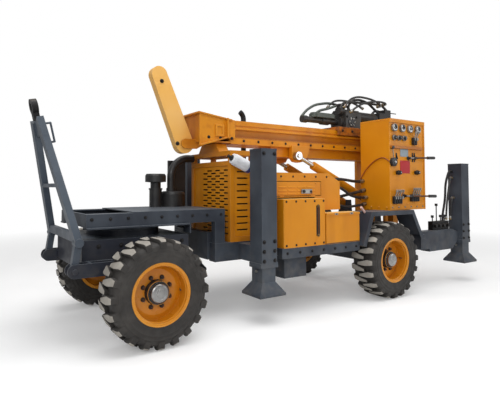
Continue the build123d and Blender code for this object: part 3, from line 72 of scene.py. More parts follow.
# Colours, as linear values
YELLOW = (0.63, 0.225, 0.003)
YELLOW_FADED = (0.69, 0.265, 0.007)
YELLOW_DEEP = (0.44, 0.125, 0.002)
# Painted highlight: pale tone laid along the sharp edges of the yellow paints
YELLOW_EDGE_HIGHLIGHT = (0.80, 0.44, 0.12)
SLATE = (0.028, 0.033, 0.045)
SLATE_PALE = (0.066, 0.079, 0.098)
SLATE_DEEP = (0.014, 0.017, 0.024)
# Painted highlight: pale tone laid along the sharp edges of the slate paints
SLATE_EDGE_HIGHLIGHT = (0.15, 0.17, 0.19)
DUST = (0.30, 0.25, 0.19)
RUST = (0.15, 0.05, 0.016)
RUBBER = (0.020, 0.0175, 0.0155)
RUBBER_WORN = (0.36, 0.335, 0.295)
IRON = (0.030, 0.028, 0.029)
STEEL = (0.42, 0.42, 0.41)
MAST_YELLOW = (0.58, 0.20, 0.003)
MAST_DEEP = (0.33, 0.085, 0.004)
# Painted reflection: the arm's colours are the yellow made paler by a painted sky reflection
ARM_SKY_LIT = (0.80, 0.43, 0.10)
ARM_SKY_LIT_PALE = (0.84, 0.50, 0.17)
ARM_SKY_LIT_DEEP = (0.62, 0.25, 0.03)
# Painted light: pale yellow mixed into upward faces, standing in for light from above
TOP_LIGHT_YELLOW = (0.90, 0.56, 0.17)

# Places where one look ends and the next begins, in metres; a pair says where a mask starts and is full
# Painted shade: the mast's recessed web between these heights gets a dark tone
MAST_RECESS_ABOVE = (1.70, 1.615)
MAST_RECESS_BELOW = (1.60, 1.62)
HEAD_COVER_X = 2.565
HEAD_COVER_Z = 1.9285
SLED_TOP = 1.8235
PANEL_BAR = (1.5435, 1.5725)
DIAL_FRONT = (-0.7235, -0.7245)
PANEL_BAR_FRONT = (-0.7250, -0.7245)

low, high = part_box("tyre_front_left")
AXLE_X = (low.x + high.x) / 2
TYRE_R = (high.z - low.z) / 2
TYRE_Y = (low.y + high.y) / 2
low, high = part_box("tyre_rear_left")
REAR_X = (low.x + high.x) / 2


def at(x, y, z):
    """Point from its distance behind the front axle."""
    return Vector((AXLE_X + x, y, z))


class Graph:
    """A material's node tree with short calls for the nodes used here."""

    def __init__(self, name):
        self.material = bpy.data.materials.new(name)
        self.material.use_nodes = True
        self.tree = self.material.node_tree
        self.tree.nodes.clear()
        self.out = self.node("ShaderNodeOutputMaterial")
        self.surface = self.node("ShaderNodeBsdfPrincipled")
        self.link(self.surface.outputs[0], self.out.inputs[0])
        self.place = self.node("ShaderNodeTexCoord").outputs["Object"]

    def node(self, kind, **values):
        made = self.tree.nodes.new(kind)
        for key, value in values.items():
            setattr(made, key, value)
        return made

    def link(self, source, target):
        self.tree.links.new(source, target)

    def feed(self, socket, value):
        if hasattr(value, "is_linked"):
            self.link(value, socket)
        elif isinstance(value, tuple) and len(value) == 3 and socket.type == "RGBA":
            socket.default_value = (*value, 1)
        else:
            socket.default_value = value

    def noise(self, scale, detail=4.0, stretch=(1, 1, 1)):
        source = self.place
        if stretch != (1, 1, 1):
            mapping = self.node("ShaderNodeMapping")
            mapping.inputs["Scale"].default_value = stretch
            self.link(source, mapping.inputs[0])
            source = mapping.outputs[0]
        made = self.node("ShaderNodeTexNoise")
        self.link(source, made.inputs["Vector"])
        made.inputs["Scale"].default_value = scale
        made.inputs["Detail"].default_value = detail
        return made.outputs["Fac"]

    def ramp(self, value, low, high, start=0.0, end=1.0):
        made = self.node("ShaderNodeMapRange")
        self.feed(made.inputs["Value"], value)
        made.inputs["From Min"].default_value = low
        made.inputs["From Max"].default_value = high
        made.inputs["To Min"].default_value = start
        made.inputs["To Max"].default_value = end
        return made.outputs[0]

    def math(self, operation, a, b=0.0):
        made = self.node("ShaderNodeMath", operation=operation)
        self.feed(made.inputs[0], a)
        self.feed(made.inputs[1], b)
        return made.outputs[0]

    def mix(self, share, a, b):
        made = self.node("ShaderNodeMix", data_type="RGBA")
        self.feed(made.inputs[0], share)
        self.feed(made.inputs[6], a)
        self.feed(made.inputs[7], b)
        return made.outputs[2]

    def upward(self):
        """How far the surface faces up, from 0 to 1."""
        geometry = self.node("ShaderNodeNewGeometry")
        split = self.node("ShaderNodeSeparateXYZ")
        self.link(geometry.outputs["Normal"], split.inputs[0])
        return self.ramp(split.outputs[2], 0.55, 0.98)

    def along(self, axis, low, high):
        """0 at one place along an axis of the object and 1 at another."""
        split = self.node("ShaderNodeSeparateXYZ")
        self.link(self.place, split.inputs[0])
        return self.ramp(split.outputs[axis], low, high)

    def edges(self, radius):
        """1 along the sharp edges of a solid, 0 away from them."""
        bevel = self.node("ShaderNodeBevel", samples=4)
        bevel.inputs["Radius"].default_value = radius
        geometry = self.node("ShaderNodeNewGeometry")
        dot = self.node("ShaderNodeVectorMath", operation="DOT_PRODUCT")
        self.link(bevel.outputs[0], dot.inputs[0])
        self.link(geometry.outputs["Normal"], dot.inputs[1])
        return self.ramp(dot.outputs["Value"], 0.995, 0.9)

    def bump(self, height, distance, strength=1.0, radius=0.0):
        made = self.node("ShaderNodeBump")
        made.inputs["Strength"].default_value = strength
        made.inputs["Distance"].default_value = distance
        self.feed(made.inputs["Height"], height)
        if radius:
            bevel = self.node("ShaderNodeBevel", samples=4)
            bevel.inputs["Radius"].default_value = radius
            self.link(bevel.outputs[0], made.inputs["Normal"])
        self.link(made.outputs[0], self.surface.inputs["Normal"])

    def set(self, **values):
        for key, value in values.items():
            self.feed(self.surface.inputs[key.replace("_", " ")], value)
        return self.material


def paint(name, body, faded, deep, edge_highlight, rough, chip_share=0.3, coat=0.04, dust=0.12, grime=0.22,
          top=0.0, top_light_tone=TOP_LIGHT_YELLOW, layers=()):
    """Enamel over steel: uneven gloss, painted light on upward faces, a painted highlight along the sharp edges
    with dark worn chips on them, dusty tops, grime low down and fine scratches.
    """
    g = Graph(name)
    colour = g.mix(g.ramp(g.noise(2.1, 3.0), 0.40, 0.70), body, faded)
    streak = g.noise(5.5, 4.0, stretch=(1, 1, 0.16))
    colour = g.mix(g.math("MULTIPLY", g.ramp(streak, 0.5, 0.8), 0.5), colour, deep)
    for share, tone in layers:
        colour = g.mix(share(g), colour, tone)
    # Painted light: upward faces are mixed towards the top tone by the share top, as light from above
    if top:
        colour = g.mix(g.math("MULTIPLY", g.upward(), top), colour, top_light_tone)
    cloud = g.ramp(g.noise(8.0, 6.0), 0.35, 0.75)
    colour = g.mix(g.math("MULTIPLY", g.math("MULTIPLY", g.upward(), cloud), dust), colour, DUST)
    low = g.math("MULTIPLY", g.along(2, 0.78, 0.2), g.ramp(g.noise(14.0, 5.0), 0.4, 0.72))
    colour = g.mix(g.math("MULTIPLY", low, grime), colour, DUST)
    # Painted highlight: the edge tone is mixed in along the sharp edges; the dark chips that follow are wear
    rim = g.edges(0.005)
    colour = g.mix(g.math("MULTIPLY", rim, 0.42), colour, edge_highlight)
    worn = g.math("MULTIPLY", rim, g.ramp(g.noise(34.0, 3.0), 0.95 - chip_share, 1.02 - chip_share))
    scratch = g.ramp(g.noise(60.0, 2.0, stretch=(0.12, 0.12, 1)), 0.75, 0.79, 0, 0.35)
    colour = g.mix(g.math("MAXIMUM", worn, scratch), colour, deep)
    roughness = g.ramp(g.noise(6.0, 5.0), 0.3, 0.75, rough - 0.08, rough + 0.16)
    peel = g.math("ADD", g.math("MULTIPLY", g.noise(260.0, 1.0), 0.25), g.noise(11.0, 2.0))
    g.bump(peel, 0.0016, 0.5, radius=0.004)
    return g.set(Base_Color=colour, Roughness=roughness, Metallic=0.0, Specular_IOR_Level=0.28,
                 Coat_Weight=coat, Coat_Roughness=0.3)


def metal(name, body, deep, rough, metallic, grain=90.0, rust=0.0):
    """Bare or cast metal with stains."""
    g = Graph(name)
    colour = g.mix(g.ramp(g.noise(7.0, 5.0), 0.35, 0.7), body, deep)
    if rust:
        spots = g.ramp(g.noise(21.0, 6.0), 0.62 - rust, 0.72 - rust * 0.5)
        colour = g.mix(g.math("MULTIPLY", spots, 0.8), colour, RUST)
    colour = g.mix(g.math("MULTIPLY", g.upward(), 0.25), colour, DUST)
    roughness = g.ramp(g.noise(15.0, 4.0), 0.3, 0.7, rough - 0.1, rough + 0.14)
    g.bump(g.noise(grain, 3.0), 0.0012, 0.55, radius=0.002)
    return g.set(Base_Color=colour, Roughness=roughness, Metallic=metallic)


def rubber(name, body, worn, rough=0.62):
    """Rubber with dry dust in its pores."""
    g = Graph(name)
    cloud = g.ramp(g.noise(8.0, 6.0), 0.4, 0.75)
    colour = g.mix(g.math("MULTIPLY", cloud, 0.5), body, worn)
    g.bump(g.noise(150.0, 3.0), 0.001, 0.6)
    roughness = g.ramp(g.noise(25.0, 3.0), 0.3, 0.7, rough - 0.1, rough + 0.15)
    return g.set(Base_Color=colour, Roughness=roughness)


def band(axis, start, full):
    """Mask that grows from one place along an axis to another."""
    return lambda g: g.along(axis, start, full)


def patches(scale, low, high, share):
    """Mask of cloudy patches."""
    return lambda g: g.math("MULTIPLY", g.ramp(g.noise(scale, 5.0), low, high), share)


def both(first, second):
    """Mask of what two masks share."""
    return lambda g: g.math("MULTIPLY", first(g), second(g))


def slate_paint(name, body, faded, deep, rough, top=0.0, top_light_tone=TOP_LIGHT_YELLOW):
    return paint(name, body, faded, deep, SLATE_EDGE_HIGHLIGHT, rough, 0.34, top=top, top_light_tone=top_light_tone)


# Painted light: the top values below set how far each paint's upward faces are lightened
yellow = paint("yellow_enamel", YELLOW, YELLOW_FADED, YELLOW_DEEP, YELLOW_EDGE_HIGHLIGHT, 0.42, top=0.85)
# Painted shade: this mask lays a dark tone (0.27, 0.075, 0.006) over the mast's recessed web, where the flanges
# shade it
recess_shade = both(band(2, *MAST_RECESS_ABOVE), band(2, *MAST_RECESS_BELOW))
mast_yellow = paint("mast_enamel", MAST_YELLOW, YELLOW_FADED, MAST_DEEP, YELLOW_EDGE_HIGHLIGHT, 0.42, top=0.9, layers=(
    (patches(6.0, 0.58, 0.72, 0.45), (0.36, 0.10, 0.006)),
    (recess_shade, (0.27, 0.075, 0.006)),
))
crown_yellow = paint("crown_enamel", (0.58, 0.21, 0.008), YELLOW_FADED, MAST_DEEP, YELLOW_EDGE_HIGHLIGHT, 0.4, top=0.5,
                     layers=((patches(9.0, 0.5, 0.68, 0.6), (0.42, 0.11, 0.005)),))
# Painted reflection: the arm's paint is a paler copy of the yellow standing in for the sky it reflects; its
# edge tone is a painted highlight
arm_sky_lit = paint("arm_enamel_sky_lit", ARM_SKY_LIT, ARM_SKY_LIT_PALE, ARM_SKY_LIT_DEEP, (0.9, 0.66, 0.34), 0.36)
# Painted shade: the radiator frame's paint is a darker copy of the yellow, standing in for the shade on its
# front
radiator_shaded_yellow = paint("radiator_enamel_shaded", (0.50, 0.175, 0.007), YELLOW, (0.33, 0.09, 0.004), YELLOW_EDGE_HIGHLIGHT, 0.46)
# Painted highlight: the rim's edge tone (0.86, 0.50, 0.08) is laid along its sharp edges
rim_yellow = paint("rim_enamel", (0.62, 0.22, 0.006), (0.66, 0.26, 0.012), (0.40, 0.11, 0.002),
                   (0.86, 0.50, 0.08), 0.26, coat=0.3, dust=0.0, grime=0.04)
# Painted light: the pale blue-grey last values of the slate paints lighten their upward faces as sky light
slate = slate_paint("slate_enamel", SLATE, SLATE_PALE, SLATE_DEEP, 0.44, 0.7, (0.105, 0.125, 0.15))
dark_slate = slate_paint("carriage_enamel", (0.022, 0.025, 0.036), SLATE, SLATE_DEEP, 0.42, 0.6,
                         (0.095, 0.115, 0.14))
pale_slate = slate_paint("drawbar_enamel", (0.052, 0.066, 0.086), (0.082, 0.10, 0.124), SLATE, 0.38)
iron = metal("dark_iron", IRON, (0.012, 0.012, 0.013), 0.5, 0.6)
steel = metal("bright_steel", STEEL, (0.25, 0.25, 0.25), 0.3, 1.0)
chrome = metal("polished_rod", (0.60, 0.60, 0.61), (0.48, 0.48, 0.49), 0.14, 1.0, grain=400.0)
black = rubber("black_plastic", (0.014, 0.014, 0.015), (0.05, 0.048, 0.045), 0.4)
tread = rubber("tread_rubber", RUBBER, (0.065, 0.058, 0.051), 0.62)

cover = both(band(0, AXLE_X + HEAD_COVER_X, AXLE_X + HEAD_COVER_X - 0.005),
             band(2, HEAD_COVER_Z, HEAD_COVER_Z + 0.001))
sled = band(2, SLED_TOP, SLED_TOP - 0.002)
# Painted highlight: the power head's edge tone (0.13, 0.13, 0.13) is laid along its sharp edges
head_iron = paint("power_head_look", (0.024, 0.023, 0.024), (0.05, 0.048, 0.045), (0.010, 0.010, 0.011),
                  (0.13, 0.13, 0.13), 0.38, dust=0.2, layers=(
                      (patches(12.0, 0.52, 0.7, 0.5), (0.07, 0.045, 0.022)),
                      (cover, (0.075, 0.088, 0.078)),
                      (sled, (0.42, 0.125, 0.012)),
                      (both(sled, patches(14.0, 0.45, 0.62, 0.8)), (0.14, 0.05, 0.018)),
                  ))

bar = both(band(2, PANEL_BAR[0], PANEL_BAR[0] + 0.001), band(2, PANEL_BAR[1], PANEL_BAR[1] - 0.001))
# Painted highlight: the panel's edge tone (0.1, 0.1, 0.1) is laid along its sharp edges
panel_look = paint("panel_controls_look", (0.016, 0.016, 0.017), (0.03, 0.03, 0.03), (0.008, 0.008, 0.008),
                   (0.1, 0.1, 0.1), 0.34, dust=0.1, layers=(
                       (both(band(1, *DIAL_FRONT), patches(30.0, 0.2, 0.4, 1.0)),
                        (0.30, 0.29, 0.28)),
                       (both(bar, band(1, *PANEL_BAR_FRONT)), (0.42, 0.13, 0.004)),
                   ))

SLOT_LOOKS = {
    "yellow_paint": yellow,
    "frame_paint": slate,
    "steel": chrome,
    "iron": iron,
    "tyre": tread,
    "black_parts": black,
}
NODE_LOOKS = {
    "mast_beam": mast_yellow,
    "crown_head": crown_yellow,
    "crown_arm": arm_sky_lit,
    "radiator_frame": radiator_shaded_yellow,
    "steer_carriage": dark_slate,
    "drawbar": pale_slate,
    "power_head": head_iron,
    "panel_controls": panel_look,
}
for wheel in WHEELS:
    NODE_LOOKS["rim_" + wheel] = rim_yellow
slot_of = {row["node"]: row["material_slot"] for row in frame["record"]["subparts"]}
for node_name, node_object in nodes.items():
    node_object.data.materials.clear()
    node_object.data.materials.append(NODE_LOOKS.get(node_name, SLOT_LOOKS[slot_of[node_name]]))


lug_top = rubber("scuffed_lug", RUBBER_WORN, (0.12, 0.105, 0.09), 0.75)
hose_rubber = rubber("hose_rubber", (0.012, 0.012, 0.013), (0.05, 0.047, 0.043), 0.38)
grip_plastic = rubber("grip_plastic", (0.008, 0.008, 0.008), (0.03, 0.03, 0.03), 0.3)
brass = metal("stained_brass", (0.34, 0.23, 0.09), (0.14, 0.09, 0.04), 0.38, 0.85)
zinc = metal("zinc_plate", (0.40, 0.40, 0.38), (0.22, 0.21, 0.19), 0.42, 0.9, rust=0.08)
rusty = metal("rusty_steel", (0.12, 0.05, 0.022), (0.05, 0.025, 0.014), 0.72, 0.3, rust=0.2)


def enamel(name, body, rough, deep=0.7):
    """Small part's enamel or plastic around one colour."""
    pale = tuple(min(1.0, c * 1.18 + 0.01) for c in body)
    shade = tuple(c * deep for c in body)
    # Painted highlight: a paler copy of the colour laid along the sharp edges
    edge_highlight = tuple(min(1.0, c * 1.5 + 0.03) for c in body)
    return paint(name, body, pale, shade, edge_highlight, rough)


dial_white = enamel("dial_white", (0.66, 0.67, 0.68), 0.35)
red_plate = enamel("red_plate", (0.40, 0.018, 0.022), 0.5)
grey_plate = enamel("grey_plate", (0.24, 0.29, 0.32), 0.4)
black_paint = enamel("black_enamel", (0.014, 0.014, 0.016), 0.32)
blue_plastic = enamel("blue_plastic", (0.016, 0.03, 0.15), 0.4)
white_paint = enamel("white_enamel", (0.66, 0.67, 0.70), 0.4, deep=0.8)
pink_rubber = enamel("pale_rubber", (0.62, 0.42, 0.38), 0.5)
orange_cable = rubber("orange_cable", (0.34, 0.075, 0.008), (0.14, 0.05, 0.02), 0.45)
slot_black = enamel("slot_black", (0.006, 0.005, 0.005), 0.6)
sight_glass = enamel("sight_glass", (0.10, 0.03, 0.004), 0.2)


class Build:
    """Collects simple forms in one mesh, with one material slot for each look."""

    def __init__(self, name, body, slot_name):
        self.name, self.body, self.slot_name = name, body, slot_name
        self.bm = bmesh.new()
        self.looks = []

    def look(self, material):
        if material not in self.looks:
            self.looks.append(material)
        return self.looks.index(material)

    def add(self, verts, faces, material, smooth=False):
        index = self.look(material)
        made = [self.bm.verts.new(v) for v in verts]
        for face in faces:
            f = self.bm.faces.new([made[i] for i in face])
            f.material_index = index
            f.smooth = smooth

    def box(self, low, high, material, bevel=0.002, turn=None, middle=None):
        """Box between two corners, with chamfered edges."""
        low, high = Vector(low), Vector(high)
        centre = (low + high) / 2
        half = (high - low) / 2
        b = min(bevel, min(half) * 0.45)
        points, faces = [], []
        signs = [(sx, sy, sz) for sx in (-1, 1) for sy in (-1, 1) for sz in (-1, 1)]
        index = {}
        for s in signs:
            for axis in range(3):
                p = [half[i] - (b if i != axis else 0) for i in range(3)]
                index[(s, axis)] = len(points)
                points.append(Vector([p[i] * s[i] for i in range(3)]))
        for axis in range(3):
            u, v = (axis + 1) % 3, (axis + 2) % 3
            for side in (-1, 1):
                ring = []
                for a, c in ((-1, -1), (1, -1), (1, 1), (-1, 1)):
                    s = [0, 0, 0]
                    s[axis], s[u], s[v] = side, a, c
                    ring.append(index[(tuple(s), axis)])
                faces.append(ring if side > 0 else ring[::-1])
            for a in (-1, 1):
                for c in (-1, 1):
                    s0, s1 = [0, 0, 0], [0, 0, 0]
                    s0[axis], s1[axis] = -1, 1
                    for s in (s0, s1):
                        s[u], s[v] = a, c
                    s0, s1 = tuple(s0), tuple(s1)
                    ring = [index[(s0, u)], index[(s1, u)], index[(s1, v)], index[(s0, v)]]
                    faces.append(ring if a * c > 0 else ring[::-1])
        for s in signs:
            ring = [index[(s, 0)], index[(s, 1)], index[(s, 2)]]
            faces.append(ring if s[0] * s[1] * s[2] > 0 else ring[::-1])
        place = Matrix.Translation(centre if middle is None else Vector(middle))
        if turn is not None:
            place = place @ turn.to_matrix().to_4x4()
        self.add([place @ p for p in points], faces, material)

    def lathe(self, profile, centre, axis, material, segments=32, smooth=True, close=True):
        """Turned form: profile of (distance along the axis, radius) pairs."""
        axis = Vector(axis).normalized()
        side = axis.orthogonal().normalized()
        up = axis.cross(side)
        centre = Vector(centre)
        verts, faces = [], []
        for t, r in profile:
            for k in range(segments):
                a = 2 * math.pi * k / segments
                verts.append(centre + axis * t + (side * math.cos(a) + up * math.sin(a)) * r)
        rows = len(profile)
        for i in range(rows - 1):
            for k in range(segments):
                n = (k + 1) % segments
                low, high = i * segments, (i + 1) * segments
                faces.append((low + k, low + n, high + n, high + k))
        if close:
            faces.append(tuple(reversed(range(segments))))
            faces.append(tuple(range((rows - 1) * segments, rows * segments)))
        self.add(verts, faces, material, smooth)

    def rod(self, start, end, radius, material, segments=16, bevel=0.0):
        start, end = Vector(start), Vector(end)
        length = (end - start).length
        b = bevel
        profile = [(0, radius), (length, radius)]
        if b:
            profile = [(0, radius - b), (b, radius), (length - b, radius), (length, radius - b)]
        self.lathe(profile, start, end - start, material, segments, smooth=segments > 8)

    def bolt(self, place, axis, size, material, washer=True):
        """Hexagon bolt head on its washer, size across the flats."""
        axis = Vector(axis).normalized()
        base = Vector(place)
        if washer:
            self.lathe([(0, size * 0.95), (size * 0.16, size * 0.95)], base, axis, material, 16, smooth=False)
        start = size * 0.16 if washer else 0
        r = size / math.sqrt(3)
        profile = [(start, r), (start + size * 0.5, r), (start + size * 0.62, r * 0.82)]
        self.lathe(profile, base, axis, material, 6, smooth=False)

    def done(self, crease=35):
        """Turn what was collected into a piece that rides its body."""
        mesh = bpy.data.meshes.new(self.name)
        bmesh.ops.recalc_face_normals(self.bm, faces=self.bm.faces)
        self.bm.to_mesh(mesh)
        self.bm.free()
        for material in self.looks:
            mesh.materials.append(material)
        made = bpy.data.objects.new(self.name, mesh)
        bpy.context.scene.collection.objects.link(made)
        mesh.set_sharp_from_angle(angle=math.radians(crease))
        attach(made, self.body)
        return made


# Tyres: a turned carcass, as (radius, distance from the middle) pairs, with two staggered rows of lugs
CARCASS = (
    (0.2130, 0.1050), (0.2215, 0.1055), (0.2232, 0.1188), (0.2240, 0.1215), (0.2262, 0.1240),
    (0.2290, 0.1255), (0.2320, 0.1258), (0.2345, 0.1246), (0.2370, 0.1255), (0.2420, 0.1272),
    (0.2600, 0.1292), (0.2780, 0.1304), (0.2800, 0.1318), (0.2860, 0.1319), (0.2880, 0.1306),
    (0.3080, 0.1308), (0.3100, 0.1318), (0.3125, 0.1318), (0.3145, 0.1303), (0.3300, 0.1285),
    (0.3430, 0.1225), (0.3530, 0.1110), (0.3585, 0.0950), (0.3605, 0.0700), (0.3612, 0.0350),
    (0.3615, 0.0),
)
LUGS_PER_ROW = 20
Station = namedtuple("Station", "y s half top base")
LUG_PATH = (
    Station(y=-0.036, s=-0.0125, half=0.0165, top=0.3872, base=0.3580),
    Station(y=-0.010, s=-0.0095, half=0.0200, top=0.3874, base=0.3580),
    Station(y=0.020, s=-0.0060, half=0.0250, top=0.3874, base=0.3580),
    Station(y=0.052, s=-0.0010, half=0.0300, top=0.3872, base=0.3570),
    Station(y=0.084, s=0.0050, half=0.0325, top=0.3862, base=0.3540),
    Station(y=0.104, s=0.0065, half=0.0300, top=0.3840, base=0.3480),
    Station(y=0.1195, s=0.0060, half=0.0265, top=0.3790, base=0.3380),
    Station(y=0.1290, s=0.0050, half=0.0240, top=0.3690, base=0.3300),
    Station(y=0.1319, s=0.0050, half=0.0225, top=0.3520, base=0.3260),
    Station(y=0.1317, s=0.0050, half=0.0190, top=0.3330, base=0.3230),
)


def tyre(name):
    """Carcass with its lugs, in place of the solid tyre."""
    side = SIDES[name.split("_")[1]]
    x = AXLE_X if name.startswith("front") else REAR_X
    y = side * abs(TYRE_Y)
    work = Build("tread_" + name, "wheel_" + name, "tyre")
    profile = [(t, r) for r, t in CARCASS] + [(-t, r) for r, t in CARCASS[-2::-1]]
    profile.append(profile[0])
    work.lathe(profile, (x, y, TYRE_R), (0, 1, 0), tread, 128, close=False)
    for row in (-1, 1):
        for k in range(LUGS_PER_ROW):
            start = 2 * math.pi * (k + (0.5 if row > 0 else 0.0)) / LUGS_PER_ROW
            add_lug(work, x, y, row, start, -side)
    made = work.done(crease=40)
    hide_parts("tyre_" + name)


def add_lug(work, x, y, row, start, lean):
    """One lug, with eight points across at each station along its bent path."""
    verts = []
    for p in LUG_PATH:
        lip = min(0.004, (p.top - p.base) * 0.4)
        across = (
            (-p.half - 0.005, p.base), (-p.half, p.top - lip), (-p.half + 0.004, p.top), (-0.0016, p.top),
            (0.0016, p.top), (p.half - 0.004, p.top), (p.half, p.top - lip), (p.half + 0.005, p.base),
        )
        for s, r in across:
            a = start + lean * (p.s + s) / TYRE_R
            verts.append(Vector((x + r * math.sin(a), y + row * p.y, TYRE_R + r * math.cos(a))))
    top, flank = [], []
    width = 8
    for i in range(len(LUG_PATH) - 1):
        for j in range(width - 1):
            ring = (i * width + j, i * width + j + 1, (i + 1) * width + j + 1, (i + 1) * width + j)
            (top if j in (2, 3, 4) and i < len(LUG_PATH) - 3 else flank).append(ring)
    last = (len(LUG_PATH) - 1) * width
    flank.append(tuple(range(width)))
    flank.append(tuple(range(last, last + width)))
    made = [work.bm.verts.new(v) for v in verts]
    for faces, index in ((top, work.look(lug_top)), (flank, work.look(tread))):
        for face in faces:
            f = work.bm.faces.new([made[i] for i in face])
            f.material_index = index


WHEEL_NUTS = 8
NUT_CIRCLE = 0.110
CAP_CIRCLE = 0.0765


def hub(name):
    """Rolled rim lip, black flange, silver cap, wheel nuts and valve on a rim; the black flange is partly a
    painted shadow round the hub.
    """
    side = SIDES[name.split("_")[1]]
    x = AXLE_X if name.startswith("front") else REAR_X
    y = side * abs(TYRE_Y)
    out = Vector((0, side, 0))
    centre = Vector((x, y, TYRE_R))
    work = Build("hub_" + name, "wheel_" + name, "steel")
    lip = [(0.1176, 0.2060), (0.1190, 0.2085), (0.1190, 0.2170), (0.1215, 0.2190), (0.1222, 0.2212),
           (0.1215, 0.2232), (0.1190, 0.2240)]
    step = [(0.0860, 0.2005), (0.0880, 0.1955), (0.0930, 0.1945), (0.0980, 0.1955), (0.1000, 0.2005)]
    for face in (-1, 1):
        for profile in (lip, step):
            turned = [(face * t, r) for t, r in profile]
            work.lathe(turned, centre, (0, 1, 0), rim_yellow, 96, close=False)
    # Painted shadow: the black flange round the cap is a hub part, painted black where the hub's shadow falls
    work.lathe([(0.0150, 0.0900), (0.0190, 0.0880), (0.0580, 0.0860), (0.0640, 0.0810), (0.0640, 0.050)],
               centre, out, black_paint, 48)
    cap = [(0.0580, 0.0690), (0.0860, 0.0665), (0.0930, 0.0600), (0.0950, 0.0520), (0.0950, 0.0440),
           (0.0925, 0.0420), (0.0925, 0.0300), (0.0950, 0.0280), (0.0955, 0.0120)]
    work.lathe(cap, centre, out, steel, 48)
    for k in range(WHEEL_NUTS):
        a = 2 * math.pi * (k + 0.5) / WHEEL_NUTS
        spot = centre + Vector((math.cos(a) * NUT_CIRCLE, side * 0.0155, math.sin(a) * NUT_CIRCLE))
        work.lathe([(0.0, 0.017), (0.004, 0.0165), (0.005, 0.015)], spot, out, black_paint, 20)
        work.bolt(spot + out * 0.004, out, 0.026, black_paint, washer=False)
        work.rod(spot + out * 0.016, spot + out * 0.030, 0.0065, rusty, 10)
        b = a + 0.39
        cap_bolt = centre + Vector((math.cos(b) * CAP_CIRCLE, side * 0.058, math.sin(b) * CAP_CIRCLE))
        work.bolt(cap_bolt, out, 0.011, black_paint, washer=False)
    valve = centre + Vector((0.186, side * 0.022, 0.0))
    neck = valve + Vector((-0.012, side * 0.034, 0))
    tip = valve + Vector((-0.016, side * 0.046, 0))
    work.rod(valve, neck, 0.0045, brass, 10)
    work.rod(neck, tip, 0.0055, black, 10)
    work.done()


for wheel in WHEELS:
    tyre(wheel)
    hub(wheel)


def bolt_row(work, start, end, count, axis, size, material):
    for k in range(count):
        work.bolt(start.lerp(end, k / (count - 1)), axis, size, material)


def bead(work, start, end, radius, material):
    """Weld bead: a low rippled ridge between two points."""
    start, end = Vector(start), Vector(end)
    length = (end - start).length
    steps = max(4, int(length / (radius * 2.2)))
    profile = [(length * k / steps, radius * (1.0 if k % 2 else 0.82)) for k in range(steps + 1)]
    work.lathe(profile, start, end - start, material, 6)


def ferrule(work, place, way, radius):
    """Hose end: swaged sleeve and hexagon nut, pointing along its way out of the port."""
    way = Vector(way).normalized()
    place = Vector(place)
    start = radius * 1.4
    nut = [(-0.002, radius * 1.05), (0.0, radius * 1.5), (radius * 1.2, radius * 1.5), (start, radius * 1.2)]
    work.lathe(nut, place, way, brass, 6, smooth=False)
    rows = [(start + radius * 0.35 * k, radius * (1.34 if k % 2 else 1.24)) for k in range(8)]
    work.lathe(rows, place, way, zinc, 16)


def curve(name, body, points, radius, material=hose_rubber):
    """Held hose or cable, on a smooth curve led by its control points."""
    data = bpy.data.curves.new(name, "CURVE")
    data.dimensions = "3D"
    data.bevel_depth = radius
    data.bevel_resolution = 4
    data.resolution_u = 8
    data.use_fill_caps = True
    spline = data.splines.new("NURBS")
    spline.points.add(len(points) - 1)
    for target, point in zip(spline.points, points):
        target.co = (*point, 1)
    spline.order_u = 3
    spline.use_endpoint_u = True
    data.materials.append(material)
    made = bpy.data.objects.new(name, data)
    bpy.context.scene.collection.objects.link(made)
    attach(made, body)


def hoses(prefix, body, routes, ends_name):
    """Several hoses, each its own curve, with their end fittings in one joined piece."""
    ends = Build(ends_name, body, "steel")
    for k, route in enumerate(routes):
        points = [at(*p) for p in route.points]
        curve(f"{prefix}_{k + 1}", body, points, route.r)
        ferrule(ends, points[0], points[1] - points[0], route.r)
        ferrule(ends, points[-1], points[-2] - points[-1], route.r)
    ends.done()


Hose = namedtuple("Hose", "r points")

# Control panel: faces on the source's dials, boots and stems on its levers, grips on its handles
PANEL_X, PANEL_Y, PANEL_Z = 2.650, -0.700, 0.8853
Dial = namedtuple("Dial", "x z r kind")
DIALS = (
    Dial(x=0.073, z=0.882, r=0.040, kind="gauge"),
    Dial(x=0.208, z=0.882, r=0.040, kind="gauge"),
    Dial(x=0.343, z=0.882, r=0.040, kind="gauge"),
    Dial(x=0.481, z=0.882, r=0.040, kind="gauge"),
    Dial(x=0.070, z=0.775, r=0.025, kind="small"),
    Dial(x=0.153, z=0.775, r=0.025, kind="small"),
    Dial(x=0.238, z=0.775, r=0.025, kind="small"),
    Dial(x=0.045, z=0.513, r=0.045, kind="plug"),
    Dial(x=0.122, z=0.401, r=0.022, kind="knob"),
    Dial(x=0.444, z=0.406, r=0.022, kind="knob"),
)
DIAL_OUT = 0.022
NEEDLES = (2.3, 3.6, 0.9, 4.4)
OUT = Vector((0, -1, 0))


def arc(work, centre, inner, outer, start, end, material):
    """Flat part of a ring, facing the panel's front."""
    steps = 24
    verts, faces = [], []
    for k in range(steps + 1):
        a = start + (end - start) * k / steps
        for r in (inner, outer):
            verts.append(centre + Vector((math.cos(a) * r, 0, math.sin(a) * r)))
    for k in range(steps):
        faces.append((2 * k, 2 * k + 1, 2 * k + 3, 2 * k + 2))
    work.add(verts, faces, material)


